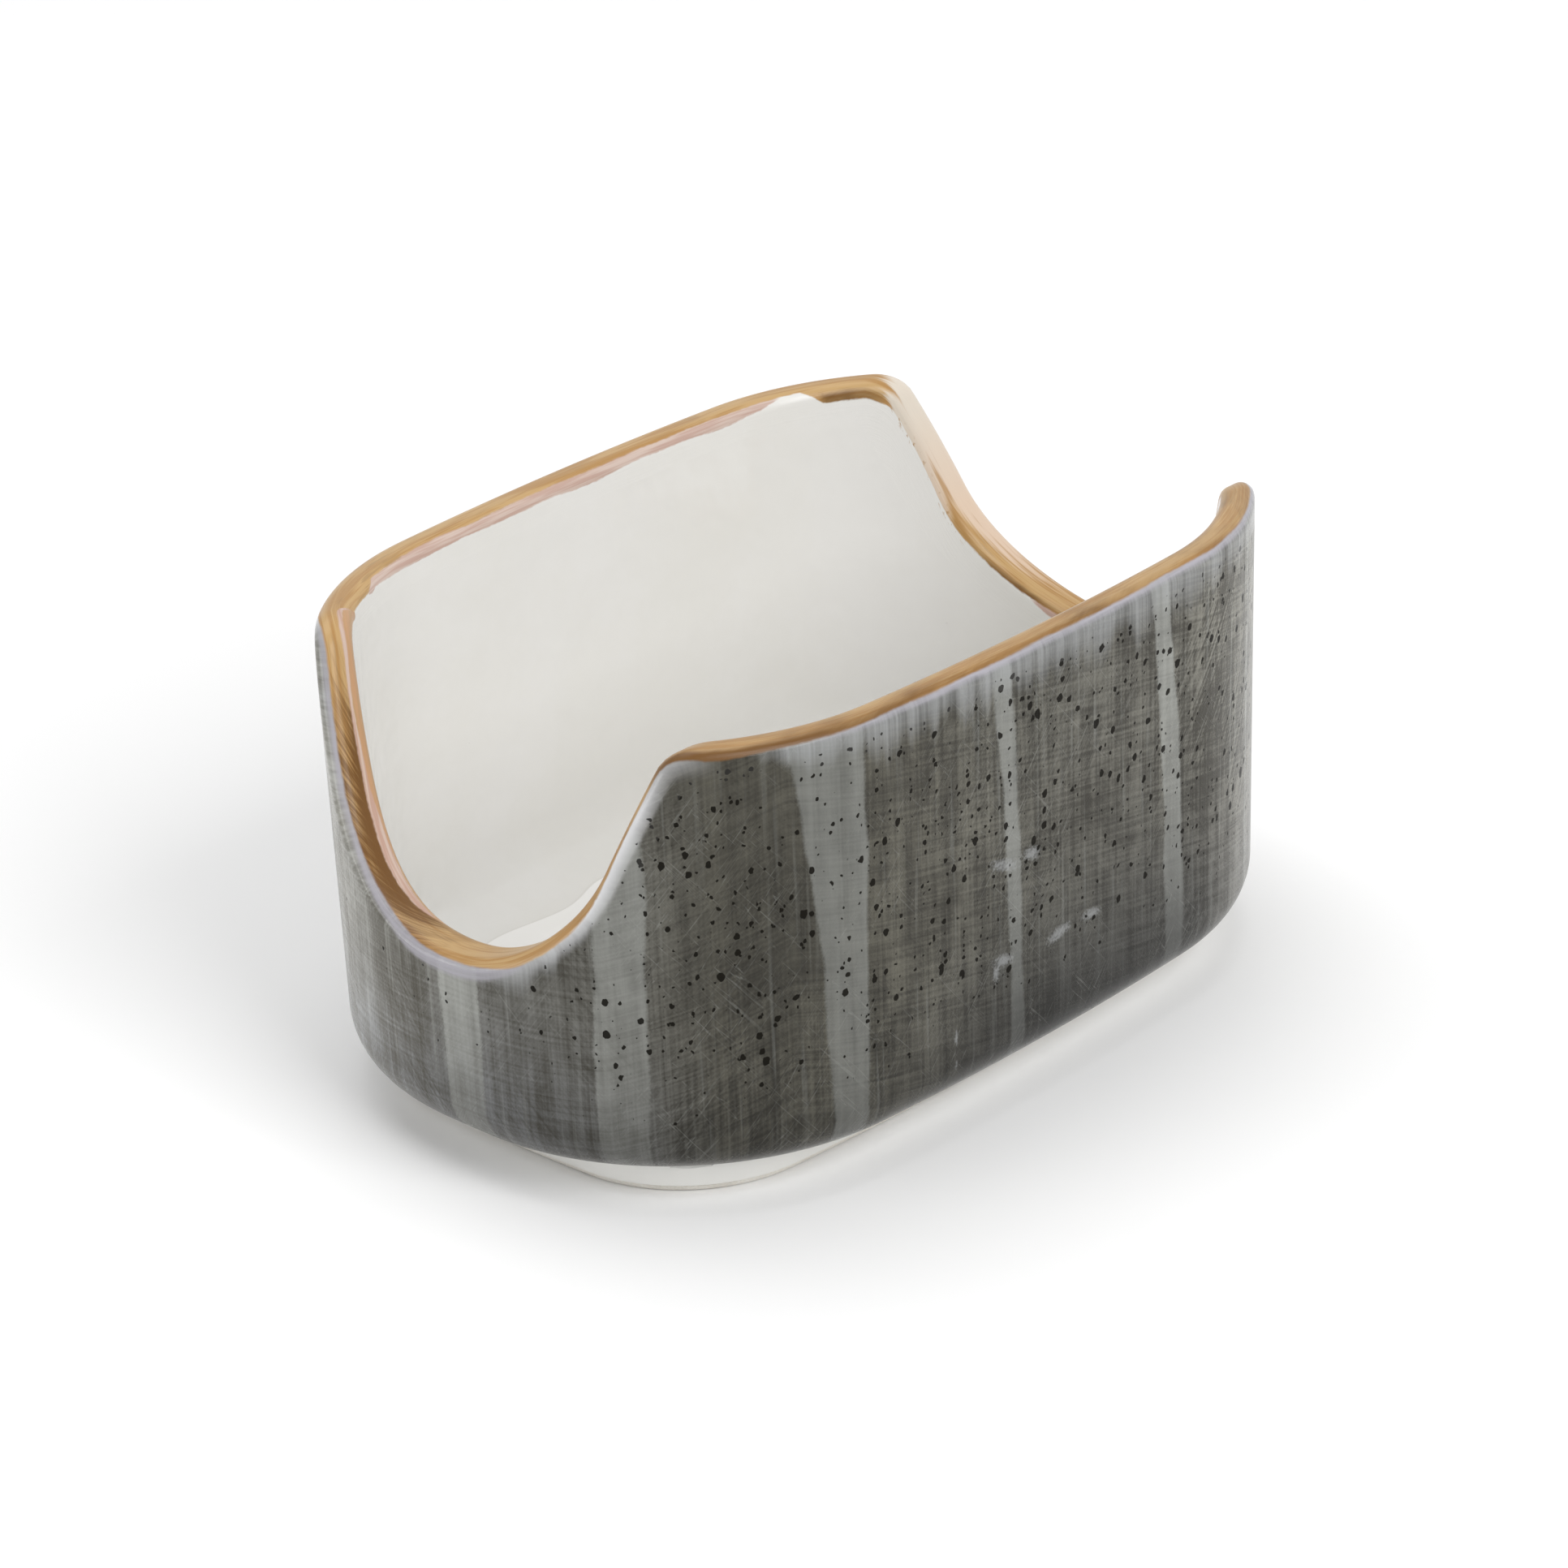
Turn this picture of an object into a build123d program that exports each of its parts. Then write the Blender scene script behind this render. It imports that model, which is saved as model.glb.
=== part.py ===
from build123d import *

import os
from math import atan2, cos, degrees, radians, sin, sqrt, tan

# A table holder for sugar packets: an open porcelain trough on a low foot ring, with a deep
# round-bottomed dip in each end wall so that a packet can be gripped. The fired clay is covered by
# glaze coats. Each coat is a thin solid of its own that lies face to face on the clay.
# Millimetres, +Z up, +X along the trough. The origin is on the table under the middle of the foot.

# Plan outline at the rim, measured on the glaze. Every stretch of it is an arc. A corner's radius is
# half the width less CORNER_INSET.
LENGTH = 110.0
WIDTH = 73.0
HEIGHT = 53.0
SIDE_BOW_RADIUS = 380.0
END_BOW_RADIUS = 180.0
CORNER_INSET = 3.7

# Walls and floor. The drafts are in degrees. RIM_LAND is the flat left on top of the rounded rim.
RIM_THICKNESS = 3.7
OUTER_DRAFT = 1.0
INNER_DRAFT = 4.5
HEEL_RADIUS = 5.6
INNER_HEEL_RADIUS = 8.0
FLOOR_THICKNESS = 4.6
RIM_LAND = 0.8

# Dip in each end wall, seen along X: a round bottom, two sides that lean out by DIP_LEAN degrees,
# and rounded shoulders. Each side would meet the level rim DIP_MARGIN inside the long wall's face.
# A shoulder is never tighter than SHOULDER_PER_RIM_ROUND times the rounding of the rim's edges.
DIP_BOTTOM_HEIGHT = 26.3
DIP_MARGIN = 12.1
DIP_LEAN = 21.7
DIP_SHOULDER_RADIUS = 4.0
SHOULDER_PER_RIM_ROUND = 2.75

# Foot ring. Its edge on the table lies FOOT_SETBACK inside the rim outline, and its corners are
# squarer: their radius is half its width less FOOT_CORNER_INSET. Each flank spreads by FOOT_FLARE up
# to the trough's underside, and the corners reach up past that, by up to FOOT_REACH, onto the heel.
FOOT_HEIGHT = 4.0
FOOT_SETBACK = 8.8
FOOT_CORNER_INSET = 11.2
FOOT_RING_WIDTH = 4.6
FOOT_FLARE = 1.0
FOOT_EDGE_ROUND = 0.9
FOOT_REACH = 2.0

# Glaze coats. The foot is wiped clean up to WIPED_HEIGHT before firing.
GLAZE = 0.35
RIM_BAND_DEPTH = 3.6
GREY_WRAP = 4.2
WIPED_HEIGHT = 1.1

# How far a cutting block reaches past what it cuts, and how near a line an edge on it lies.
OVERSHOOT = 10.0
ON_LINE = 0.02


def dip_radius():
    """Radius of the dip's round bottom, which its two leaning sides are tangent to."""
    lean = radians(DIP_LEAN)
    knee = WIDTH / 2 - DIP_MARGIN
    depth = HEIGHT - DIP_BOTTOM_HEIGHT
    return (knee - depth * tan(lean)) / (cos(lean) - (1 - sin(lean)) * tan(lean))


def rim_round():
    """Radius that rounds the rim's two edges, measured on the glaze."""
    return (RIM_THICKNESS - RIM_LAND) / 2


def shoulder_radius():
    """Radius of the dip's shoulders, never too tight for the rounded rim to run over them."""
    return max(DIP_SHOULDER_RADIUS, SHOULDER_PER_RIM_ROUND * rim_round())


def corner_centre(length, width, corner_radius):
    """Centre of the corner arc that is tangent to the long side's arc and to the end's arc."""
    side_centre = Vector(0, width / 2 - SIDE_BOW_RADIUS)
    end_centre = Vector(length / 2 - END_BOW_RADIUS, 0)
    side_reach = SIDE_BOW_RADIUS - corner_radius
    end_reach = END_BOW_RADIUS - corner_radius
    span = end_centre - side_centre
    along = (side_reach**2 - end_reach**2 + span.length**2) / (2 * span.length)
    across = sqrt(side_reach**2 - along**2)
    unit = span.normalized()
    return side_centre + unit * along + Vector(unit.Y, -unit.X) * across


def plan_face(length, width, corner_inset, inset, height):
    """A plan outline as a flat face at a height, moved inwards by inset. Its arcs keep their centres."""
    corner_radius = width / 2 - corner_inset
    corner = corner_centre(length, width, corner_radius)
    side_y = width / 2 - SIDE_BOW_RADIUS
    end_x = length / 2 - END_BOW_RADIUS
    end_turn = degrees(atan2(corner.Y, corner.X - end_x))
    side_turn = degrees(atan2(corner.Y - side_y, corner.X))
    corner_sweep = side_turn - end_turn
    side_sweep = 180 - 2 * side_turn
    side_radius = SIDE_BOW_RADIUS - inset
    end_radius = END_BOW_RADIUS - inset
    round_radius = corner_radius - inset
    arcs = [
        CenterArc((end_x, 0), end_radius, -end_turn, 2 * end_turn),
        CenterArc((corner.X, corner.Y), round_radius, end_turn, corner_sweep),
        CenterArc((0, side_y), side_radius, side_turn, side_sweep),
        CenterArc((-corner.X, corner.Y), round_radius, 180 - side_turn, corner_sweep),
        CenterArc((-end_x, 0), end_radius, 180 - end_turn, 2 * end_turn),
        CenterArc((-corner.X, -corner.Y), round_radius, 180 + end_turn, corner_sweep),
        CenterArc((0, -side_y), side_radius, 180 + side_turn, side_sweep),
        CenterArc((corner.X, -corner.Y), round_radius, 360 - side_turn, corner_sweep),
    ]
    return Pos(0, 0, height) * make_face(arcs)


def body_face(inset, height):
    """The trough's plan outline, moved inwards from the rim outline."""
    return plan_face(LENGTH, WIDTH, CORNER_INSET, inset, height)


def foot_face(inset, height):
    """The foot's plan outline, moved inwards from its edge on the table."""
    length = LENGTH - 2 * FOOT_SETBACK
    width = WIDTH - 2 * FOOT_SETBACK
    return plan_face(length, width, FOOT_CORNER_INSET, inset, height)


def outer_inset(height):
    """How far the outer wall has drawn in from the rim outline at a height."""
    return (HEIGHT - height) * tan(radians(OUTER_DRAFT))


def inner_inset(height):
    """How far the inner wall lies inside the rim outline at a height."""
    return RIM_THICKNESS + (HEIGHT - height) * tan(radians(INNER_DRAFT))


def lowest_edges(shape):
    """The edges round the bottom face of a block."""
    return shape.edges().group_by(Axis.Z)[0]


def outer_block(skin):
    """The trough's outer form with its rounded heel, solid and too tall, with skin taken off."""
    low = FOOT_HEIGHT + skin
    high = HEIGHT + OVERSHOOT
    bottom = body_face(outer_inset(low) + skin, low)
    top = body_face(outer_inset(high) + skin, high)
    block = loft([bottom, top], ruled=True)
    return fillet(lowest_edges(block), HEEL_RADIUS - skin)


def cavity_block(skin):
    """The space inside the trough as a block, too tall, grown by skin."""
    low = FOOT_HEIGHT + FLOOR_THICKNESS - skin
    high = HEIGHT + OVERSHOOT
    bottom = body_face(inner_inset(low) - skin, low)
    top = body_face(inner_inset(high) - skin, high)
    block = loft([bottom, top], ruled=True)
    return fillet(lowest_edges(block), INNER_HEEL_RADIUS + skin)


def dip_points(drop):
    """Key points (y, z) of half the rim line, lowered by drop at right angles to itself.

    They are the centre of the dip's round bottom, the two ends of the leaning side, the end of the
    shoulder on the level rim and the centre of the shoulder.
    """
    lean = radians(DIP_LEAN)
    top = HEIGHT - drop
    bottom_radius = dip_radius() + drop
    shoulder_reach = shoulder_radius() - drop
    bottom_centre = Vector(0, DIP_BOTTOM_HEIGHT + dip_radius())
    side_low = bottom_centre + Vector(cos(lean), -sin(lean)) * bottom_radius
    knee = side_low + Vector(tan(lean), 1) * (top - side_low.Y)
    tangent = shoulder_reach * tan((radians(90) - lean) / 2)
    side_high = knee - Vector(sin(lean), cos(lean)) * tangent
    shoulder_end = knee + Vector(tangent, 0)
    shoulder_centre = shoulder_end - Vector(0, shoulder_reach)
    return bottom_centre, side_low, side_high, shoulder_end, shoulder_centre


def above_rim(drop):
    """A block along X that fills everything above the rim line lowered by drop."""
    bottom_centre, side_low, side_high, shoulder_end, shoulder_centre = dip_points(drop)
    half_turn = (radians(90) - radians(DIP_LEAN)) / 2
    shoulder_reach = shoulder_radius() - drop
    shoulder_mid = shoulder_centre + Vector(-sin(half_turn), cos(half_turn)) * shoulder_reach
    bottom = bottom_centre - Vector(0, dip_radius() + drop)
    corner = Vector(WIDTH / 2 + OVERSHOOT, shoulder_end.Y)
    ceiling = Vector(corner.X, HEIGHT + 2 * OVERSHOOT)

    def other(point):
        return Vector(-point.X, point.Y)

    rim_line = [
        Line(other(corner), other(shoulder_end)),
        ThreePointArc(other(shoulder_end), other(shoulder_mid), other(side_high)),
        Line(other(side_high), other(side_low)),
        ThreePointArc(other(side_low), bottom, side_low),
        Line(side_low, side_high),
        ThreePointArc(side_high, shoulder_mid, shoulder_end),
        Line(shoulder_end, corner),
        Line(corner, ceiling),
        Line(ceiling, other(ceiling)),
        Line(other(ceiling), other(corner)),
    ]
    across_x = Plane(origin=(0, 0, 0), x_dir=(0, 1, 0), z_dir=(1, 0, 0))
    return extrude(across_x * make_face(rim_line), amount=LENGTH / 2 + OVERSHOOT, both=True)


def rim_gap(point, drop):
    """How far a point lies off the rim line lowered by drop, at right angles to that line."""
    bottom_centre, side_low, side_high, shoulder_end, shoulder_centre = dip_points(drop)
    place = Vector(abs(point.Y), point.Z)
    if place.X >= shoulder_end.X:
        return abs(place.Y - shoulder_end.Y)
    if place.X >= side_high.X:
        return abs((place - shoulder_centre).length - shoulder_radius() + drop)
    if place.X >= side_low.X:
        lean = radians(DIP_LEAN)
        return abs((place - side_low).dot(Vector(-cos(lean), sin(lean))))
    return abs((place - bottom_centre).length - dip_radius() - drop)


def rim_edges(shape, drop):
    """The inner and the outer edge chain of a raw rim, without the short seams across the wall."""
    found = []
    for edge in shape.edges():
        is_seam = edge.geom_type == GeomType.LINE
        if not is_seam and rim_gap(edge.position_at(0.5), drop) < ON_LINE:
            found.append(edge)
    return found


def trough(skin):
    """Walls and floor with the two dips and a rounded rim, with skin taken off every face."""
    walls = outer_block(skin) - cavity_block(skin) - above_rim(skin)
    return fillet(rim_edges(walls, skin), rim_round() - skin)


def foot(skin):
    """The foot ring up to where it meets the trough, with skin taken off its two flanks."""
    top = FOOT_HEIGHT + FOOT_REACH
    flare = FOOT_FLARE * top / FOOT_HEIGHT
    ring_inset = FOOT_RING_WIDTH - skin
    block = loft([foot_face(skin, 0), foot_face(skin - flare, top)], ruled=True)
    block = fillet(lowest_edges(block), FOOT_EDGE_ROUND)
    hollow = loft([foot_face(ring_inset, 0), foot_face(ring_inset + flare, top)], ruled=True)
    return block - hollow - outer_block(skin)


def upright_block(face, height):
    """A block from well below the table up to a height, on a plan face."""
    return extrude(Pos(0, 0, -OVERSHOOT) * face, amount=OVERSHOOT + height)


def make_nodes():
    """Every piece of the holder, by its name."""
    porcelain_body = trough(GLAZE)
    foot_ring = foot(GLAZE)
    wiped = upright_block(body_face(0, 0), WIPED_HEIGHT)
    coats = trough(0) + foot(0) - porcelain_body - foot_ring - wiped

    band_zone = above_rim(RIM_BAND_DEPTH)
    inside_zone = cavity_block(RIM_THICKNESS / 2)
    base_zone = upright_block(body_face(outer_inset(FOOT_HEIGHT) + GREY_WRAP, 0), FOOT_HEIGHT + HEEL_RADIUS)
    recess_zone = upright_block(foot_face(FOOT_RING_WIDTH / 2, 0), FOOT_HEIGHT + HEEL_RADIUS)

    below_band = coats - band_zone
    outside = below_band - inside_zone
    base = outside & base_zone
    return {
        "porcelain_body": porcelain_body,
        "foot_ring": foot_ring,
        "outer_grey_coat": outside - base_zone,
        "rim_brown_band": coats & band_zone,
        "inner_white_glaze": below_band & inside_zone,
        "foot_white_glaze": base - recess_zone,
        "recess_white_glaze": base & recess_zone,
    }


def main():
    """Write one STEP file for each piece."""
    os.makedirs("parts", exist_ok=True)
    for name, shape in make_nodes().items():
        export_step(shape, f"parts/{name}.step")


if __name__ == "__main__":
    main()
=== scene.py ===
"""Looks of a glazed porcelain table holder for sugar packets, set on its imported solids.

The fired clay and the foot stay as they are packed. The five glaze coats are worked out here again as
thin closed shells with the same faces, so that they can carry the painted and speckled finishes.
Metres, +Z up, +X along the trough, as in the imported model.
"""

import logging
from collections.abc import Callable
from dataclasses import astuple, dataclass, field
from enum import Enum
from functools import partial, reduce

import bpy
import numpy as np
from mathutils import Matrix, Vector


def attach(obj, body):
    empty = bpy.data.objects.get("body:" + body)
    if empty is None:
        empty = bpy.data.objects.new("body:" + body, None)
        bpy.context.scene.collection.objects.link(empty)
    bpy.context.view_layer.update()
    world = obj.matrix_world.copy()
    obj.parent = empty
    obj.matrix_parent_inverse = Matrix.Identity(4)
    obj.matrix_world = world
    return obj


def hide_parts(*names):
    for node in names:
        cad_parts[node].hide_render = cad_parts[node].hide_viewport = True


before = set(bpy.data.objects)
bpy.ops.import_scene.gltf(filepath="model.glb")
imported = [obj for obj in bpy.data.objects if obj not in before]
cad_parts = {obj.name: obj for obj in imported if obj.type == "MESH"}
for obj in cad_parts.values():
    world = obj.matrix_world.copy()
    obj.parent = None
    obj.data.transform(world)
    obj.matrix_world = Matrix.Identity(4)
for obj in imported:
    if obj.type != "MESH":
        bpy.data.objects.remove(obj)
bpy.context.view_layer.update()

LOG = logging.getLogger("packet_holder")
MM = 0.001
BODY = "root"
FULL_TURN = 2.0 * np.pi
TINY = 1e-14
AIM = (0.0, 0.0, 0.03)

Colour = tuple[float, float, float]
Grid = np.ndarray
Socket = bpy.types.NodeSocket
Value = Socket | Colour | float


class Slot(Enum):
    """Names of the record's material slots, one kept on each coat; the finishes themselves are made from
    the coats' looks.
    """

    GREY = "grey_glaze"
    BROWN = "brown_glaze"
    WHITE = "white_glaze"


class Pole(Enum):
    """Which end of a coat's rows has shrunk to one point."""

    NONE = "none"
    FIRST = "first"
    LAST = "last"


class Side(Enum):
    """Which side of the wall or of the foot ring, with the sign of the way out of it."""

    OUTER = 1.0
    INNER = -1.0


def smooth(value: Grid, low: float, high: float) -> Grid:
    """Ease from 0 at low to 1 at high along the curve 3t^2 - 2t^3."""
    share = np.clip((value - low) / (high - low), 0.0, 1.0)
    return share * share * (3.0 - 2.0 * share)


@dataclass(frozen=True)
class PlanOutline:
    """A closed plan outline of eight arcs, each tangent to the next, mirrored about both axes."""

    length: float
    width: float
    corner_inset: float
    side_bow: float = 380.0 * MM
    end_bow: float = 180.0 * MM

    def arcs(self) -> tuple[np.ndarray, np.ndarray, float, float]:
        """Work out the three arcs of the first quarter, counted from the end to the long side.

        The corner's centre lies where two circles cross: one about the side's centre and one about
        the end's centre, each with the radius of its arc less the corner's.

        Returns:
            The arcs' centres, their radii, and the turns at which the corner arc starts and ends.
        """
        corner = self.width / 2 - self.corner_inset
        side = np.array([0.0, self.width / 2 - self.side_bow])
        end = np.array([self.length / 2 - self.end_bow, 0.0])
        side_reach = self.side_bow - corner
        end_reach = self.end_bow - corner
        span = end - side
        apart = np.hypot(*span)
        along = (side_reach**2 - end_reach**2 + apart**2) / (2 * apart)
        across = np.sqrt(side_reach**2 - along**2)
        unit = span / apart
        middle = side + unit * along + np.array([unit[1], -unit[0]]) * across
        start = np.arctan2(middle[1], middle[0] - end[0])
        stop = np.arctan2(middle[1] - side[1], middle[0])
        return np.array([end, middle, side]), np.array([self.end_bow, corner, self.side_bow]), start, stop

    def point(self, turn: Grid, inset: Grid | float) -> Grid:
        """Find the outline's point whose outward normal points at an angle, moved inwards.

        The angle is folded into the first quarter, where the point is centre + (radius - inset) times
        the normal, and the result is mirrored back.

        Args:
            turn: Angles of the normal from +X, in radians.
            inset: How far inwards the outline is moved.

        Returns:
            Plan points, x and y in the last axis.
        """
        centres, radii, start, stop = self.arcs()
        normal = np.stack([np.cos(turn), np.sin(turn)], axis=-1)
        folded = np.arctan2(np.abs(normal[..., 1]), np.abs(normal[..., 0]))
        arc = (folded > start).astype(int) + (folded > stop).astype(int)
        reach = (radii[arc] - inset)[..., None]
        return np.sign(normal) * centres[arc] + reach * normal

    def gap(self, place: Grid) -> tuple[Grid, Grid]:
        """Measure how far plan points lie outside the outline, and the way out there.

        Args:
            place: Plan points, x and y in the last axis.

        Returns:
            Distances, negative inside, and the angles of the outward normals.
        """
        centres, radii, start, stop = self.arcs()
        folded = np.abs(place[..., :2])
        lean = folded - centres[1]
        seen = np.arctan2(lean[..., 1], lean[..., 0])
        arc = (seen > start).astype(int) + (seen > stop).astype(int)
        away = folded - centres[arc]
        sign = np.where(place[..., :2] < 0, -1.0, 1.0)
        turn = np.arctan2(away[..., 1] * sign[..., 1], away[..., 0] * sign[..., 0])
        return np.hypot(away[..., 0], away[..., 1]) - radii[arc], turn


@dataclass(frozen=True)
class RimLine:
    """The rim seen along X: level, with a round-bottomed dip whose sides lean out over the shoulders."""

    height: float = 53.0 * MM
    half_width: float = 36.5 * MM
    dip_bottom: float = 26.3 * MM
    dip_margin: float = 12.1 * MM
    lean: float = np.radians(21.7)
    shoulder: float = 4.0 * MM

    def bottom_radius(self) -> float:
        """Work out the dip's round bottom, which its two leaning sides are tangent to.

        Returns:
            Its radius.
        """
        knee = self.half_width - self.dip_margin
        depth = self.height - self.dip_bottom
        tan = np.tan(self.lean)
        return (knee - depth * tan) / (np.cos(self.lean) - (1 - np.sin(self.lean)) * tan)

    def stretches(self, drop: float) -> tuple[float, float, float, float, float]:
        """Give the places along y where the rim line changes from one stretch to the next.

        Args:
            drop: How far the line is lowered at right angles to itself.

        Returns:
            The end of the round bottom, the end of the leaning side, the end of the shoulder, and the
            heights at which the leaning side starts and the level rim lies.
        """
        sin, cos, tan = np.sin(self.lean), np.cos(self.lean), np.tan(self.lean)
        reach = self.bottom_radius() + drop
        low_y = reach * cos
        low_z = self.dip_bottom + self.bottom_radius() - reach * sin
        top = self.height - drop
        knee = low_y + tan * (top - low_z)
        tangent = (self.shoulder - drop) * np.tan((np.pi / 2 - self.lean) / 2)
        return low_y, knee - sin * tangent, knee + tangent, low_z, top

    def at(self, y: Grid, drop: float) -> tuple[Grid, Grid]:
        """Give the height and the upward normal of the rim line, lowered at right angles to itself.

        The round bottom is a circle of the dip's radius plus drop, the shoulder a circle of its own
        radius less drop, and the side a straight line between them.

        Args:
            y: Places across the trough.
            drop: How far the line is lowered.

        Returns:
            Heights, and unit normals with their y and z in the last axis.
        """
        low_y, high_y, end_y, low_z, top = self.stretches(drop)
        far = np.abs(y)
        bowl = self.bottom_radius() + drop
        bowl_z = self.dip_bottom + self.bottom_radius()
        hump = self.shoulder - drop
        arc_z = bowl_z - np.sqrt(np.clip(bowl**2 - far**2, 0.0, None))
        line_z = low_z + (far - low_y) / np.tan(self.lean)
        hump_z = top - hump + np.sqrt(np.clip(hump**2 - (far - end_y) ** 2, 0.0, None))
        zones = [far < low_y, far < high_y, far < end_y]
        z = np.select(zones, [arc_z, line_z, hump_z], top)
        flat = np.zeros_like(far)
        side_y = np.full_like(far, -np.cos(self.lean))
        normal_y = np.select(zones, [-far / bowl, side_y, (far - end_y) / hump], flat)
        normal_z = np.sqrt(np.clip(1.0 - normal_y**2, 0.0, 1.0))
        return z, np.stack([normal_y * np.sign(y), normal_z], axis=-1)

    def depth(self, place: Grid) -> Grid:
        """Measure how far points lie below the rim line, at right angles to it.

        Args:
            place: Points, x, y and z in the last axis.

        Returns:
            Distances, positive below the line.
        """
        low_y, high_y, end_y, low_z, top = self.stretches(0.0)
        far, z = np.abs(place[..., 1]), place[..., 2]
        bowl_z = self.dip_bottom + self.bottom_radius()
        below_bowl = np.hypot(far, z - bowl_z) - self.bottom_radius()
        below_side = (far - low_y) * np.cos(self.lean) - (z - low_z) * np.sin(self.lean)
        below_hump = self.shoulder - np.hypot(far - end_y, z - top + self.shoulder)
        in_bowl = np.arctan2(bowl_z - z, far) > self.lean
        above = z - top + self.shoulder
        in_hump = (far < end_y) & (above > 0) & (np.arctan2(above, end_y - far) > self.lean)
        return np.select([in_bowl, in_hump, far < end_y], [below_bowl, below_hump, below_side], top - z)


def bisect(low: Grid, high: Grid, over: Callable[[Grid], Grid], steps: int = 40) -> Grid:
    """Find where a rising test changes sign, by halving the span again and again.

    Args:
        low: Starts of the spans, where the test is below zero.
        high: Ends of the spans, where it is above zero.
        over: The test, called with an array of places.
        steps: How often the spans are halved.

    Returns:
        The places of the change.
    """
    for _ in range(steps):
        middle = (low + high) / 2
        beyond = over(middle) > 0
        low = np.where(beyond, low, middle)
        high = np.where(beyond, middle, high)
    return (low + high) / 2


@dataclass
class HolderForm:
    """The finished form of the trough and its foot, as rows of points round the whole holder.

    Every station round the rim has one profile. It runs from the underside's middle out over the foot
    and the heel, up the outer wall, over the rim, down the inner wall and across the floor to its
    middle, so that the faces between neighbouring stations all point out of the porcelain.
    """

    trough: PlanOutline = PlanOutline(110.0 * MM, 73.0 * MM, 3.7 * MM)
    foot: PlanOutline = PlanOutline(92.4 * MM, 55.4 * MM, 11.2 * MM)
    rim: RimLine = RimLine()
    rim_thickness: float = 3.7 * MM
    rim_land: float = 0.8 * MM
    outer_draft: float = np.radians(1.0)
    inner_draft: float = np.radians(4.5)
    heel: float = 5.6 * MM
    inner_heel: float = 8.0 * MM
    floor: float = 8.6 * MM
    foot_height: float = 4.0 * MM
    foot_ring: float = 4.6 * MM
    foot_flare: float = 1.0 * MM
    foot_root: float = 0.8 * MM
    wiped: float = 1.1 * MM
    band: float = 3.6 * MM
    grey_wrap: float = 4.2 * MM
    glaze: float = 0.35 * MM
    stations: int = 720
    samples: int = 36000
    heel_rows: int = 13
    outer_rows: int = 60
    hem_rows: int = 6
    lip_rows: int = 11
    inner_rows: int = 40
    bowl_rows: int = 14
    floor_rows: int = 15
    foot_rows: int = 8
    panel_rows: int = 14
    root_steps: int = 8
    parts: dict[str, Grid] = field(default_factory=dict)

    def draft(self, side: Side) -> float:
        """The angle at which a wall leans in."""
        return self.outer_draft if side is Side.OUTER else self.inner_draft

    def inset(self, z: Grid | float, side: Side) -> Grid | float:
        """How far a wall lies inside the rim outline at a height."""
        start = 0.0 if side is Side.OUTER else self.rim_thickness
        return start + (self.rim.height - z) * np.tan(self.draft(side))

    def middle_inset(self, z: Grid) -> Grid:
        """How far the middle of the wall lies inside the rim outline at a height."""
        return (self.inset(z, Side.OUTER) + self.inset(z, Side.INNER)) / 2

    def ball_radius(self) -> float:
        """Radius of the rim's two rounded edges, which leave the land between them."""
        return (self.rim_thickness - self.rim_land) / 2

    def stand(self, turn: Grid, inset: Grid | float, z: Grid | float) -> Grid:
        """Points of the trough's outline, moved inwards, at a height."""
        plan = self.trough.point(turn, inset)
        return np.concatenate([plan, np.broadcast_to(z, plan.shape[:-1])[..., None]], axis=-1)

    def drawn_in(self, edge: Grid, shares: Grid) -> Grid:
        """Rows of a level edge drawn in towards the middle, by a share for each row."""
        share = shares[:, None, None]
        return edge * np.concatenate([share, share, np.ones_like(share)], axis=-1)

    def rim_stations(self) -> tuple[Grid, Grid]:
        """Spread the stations evenly along the rim's middle line, dips included.

        Returns:
            The stations' plan points in the middle of the wall, and the outline normals' angles there.
        """
        turn = np.linspace(0.0, FULL_TURN, self.samples, endpoint=False)
        middle = self.trough.point(turn, self.rim_thickness / 2)
        z, _ = self.rim.at(middle[:, 1], 0.0)
        middle = self.trough.point(turn, self.middle_inset(z))
        z, _ = self.rim.at(middle[:, 1], 0.0)
        line = np.column_stack([middle, z])
        steps = np.linalg.norm(np.roll(line, -1, axis=0) - line, axis=1)
        far = np.concatenate([[0.0], np.cumsum(steps)])
        wanted = np.linspace(0.0, far[-1], self.stations, endpoint=False)
        self.parts["rim_length"] = far[-1]
        self.parts["rim_turn"] = wanted / far[-1] * FULL_TURN
        at = np.interp(wanted, far, np.append(turn, FULL_TURN))
        return self.trough.point(at, np.interp(wanted, far[:-1], self.middle_inset(z))), at

    def cross_way(self, middle: Grid, turn: Grid) -> Grid:
        """Give the direction in which the rim is crossed at each station.

        It is straight along X in the dips and their shoulders, because the dips are cut that way, and
        eases into the outline's normal on the long walls.

        Args:
            middle: The stations' plan points.
            turn: The outline normals' angles there.

        Returns:
            Unit plan directions, pointing outwards.
        """
        shoulder_end = self.rim.stretches(0.0)[2]
        share = smooth(np.abs(middle[:, 1]), shoulder_end, self.rim.half_width - self.rim_thickness)
        normal = np.column_stack([np.cos(turn), np.sin(turn)])
        along = np.column_stack([np.sign(normal[:, 0]), np.zeros(len(turn))])
        way = along * (1 - share[:, None]) + normal * share[:, None]
        return way / np.linalg.norm(way, axis=1, keepdims=True)

    def rim_ball(self, middle: Grid, way: Grid, side: Side) -> tuple[Grid, Grid, Grid]:
        """Seat the ball that rounds one edge of the rim, at every station.

        The ball touches the wall and the rim's top, so its centre lies one radius inside both. It is
        found along the crossing direction by halving.

        Args:
            middle: The stations' plan points.
            way: The crossing directions.
            side: The rim's outer or inner edge.

        Returns:
            The balls' centres, the wall's unit normals and the rim's unit normals.
        """
        radius, draft, sign = self.ball_radius(), self.draft(side), side.value

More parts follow.
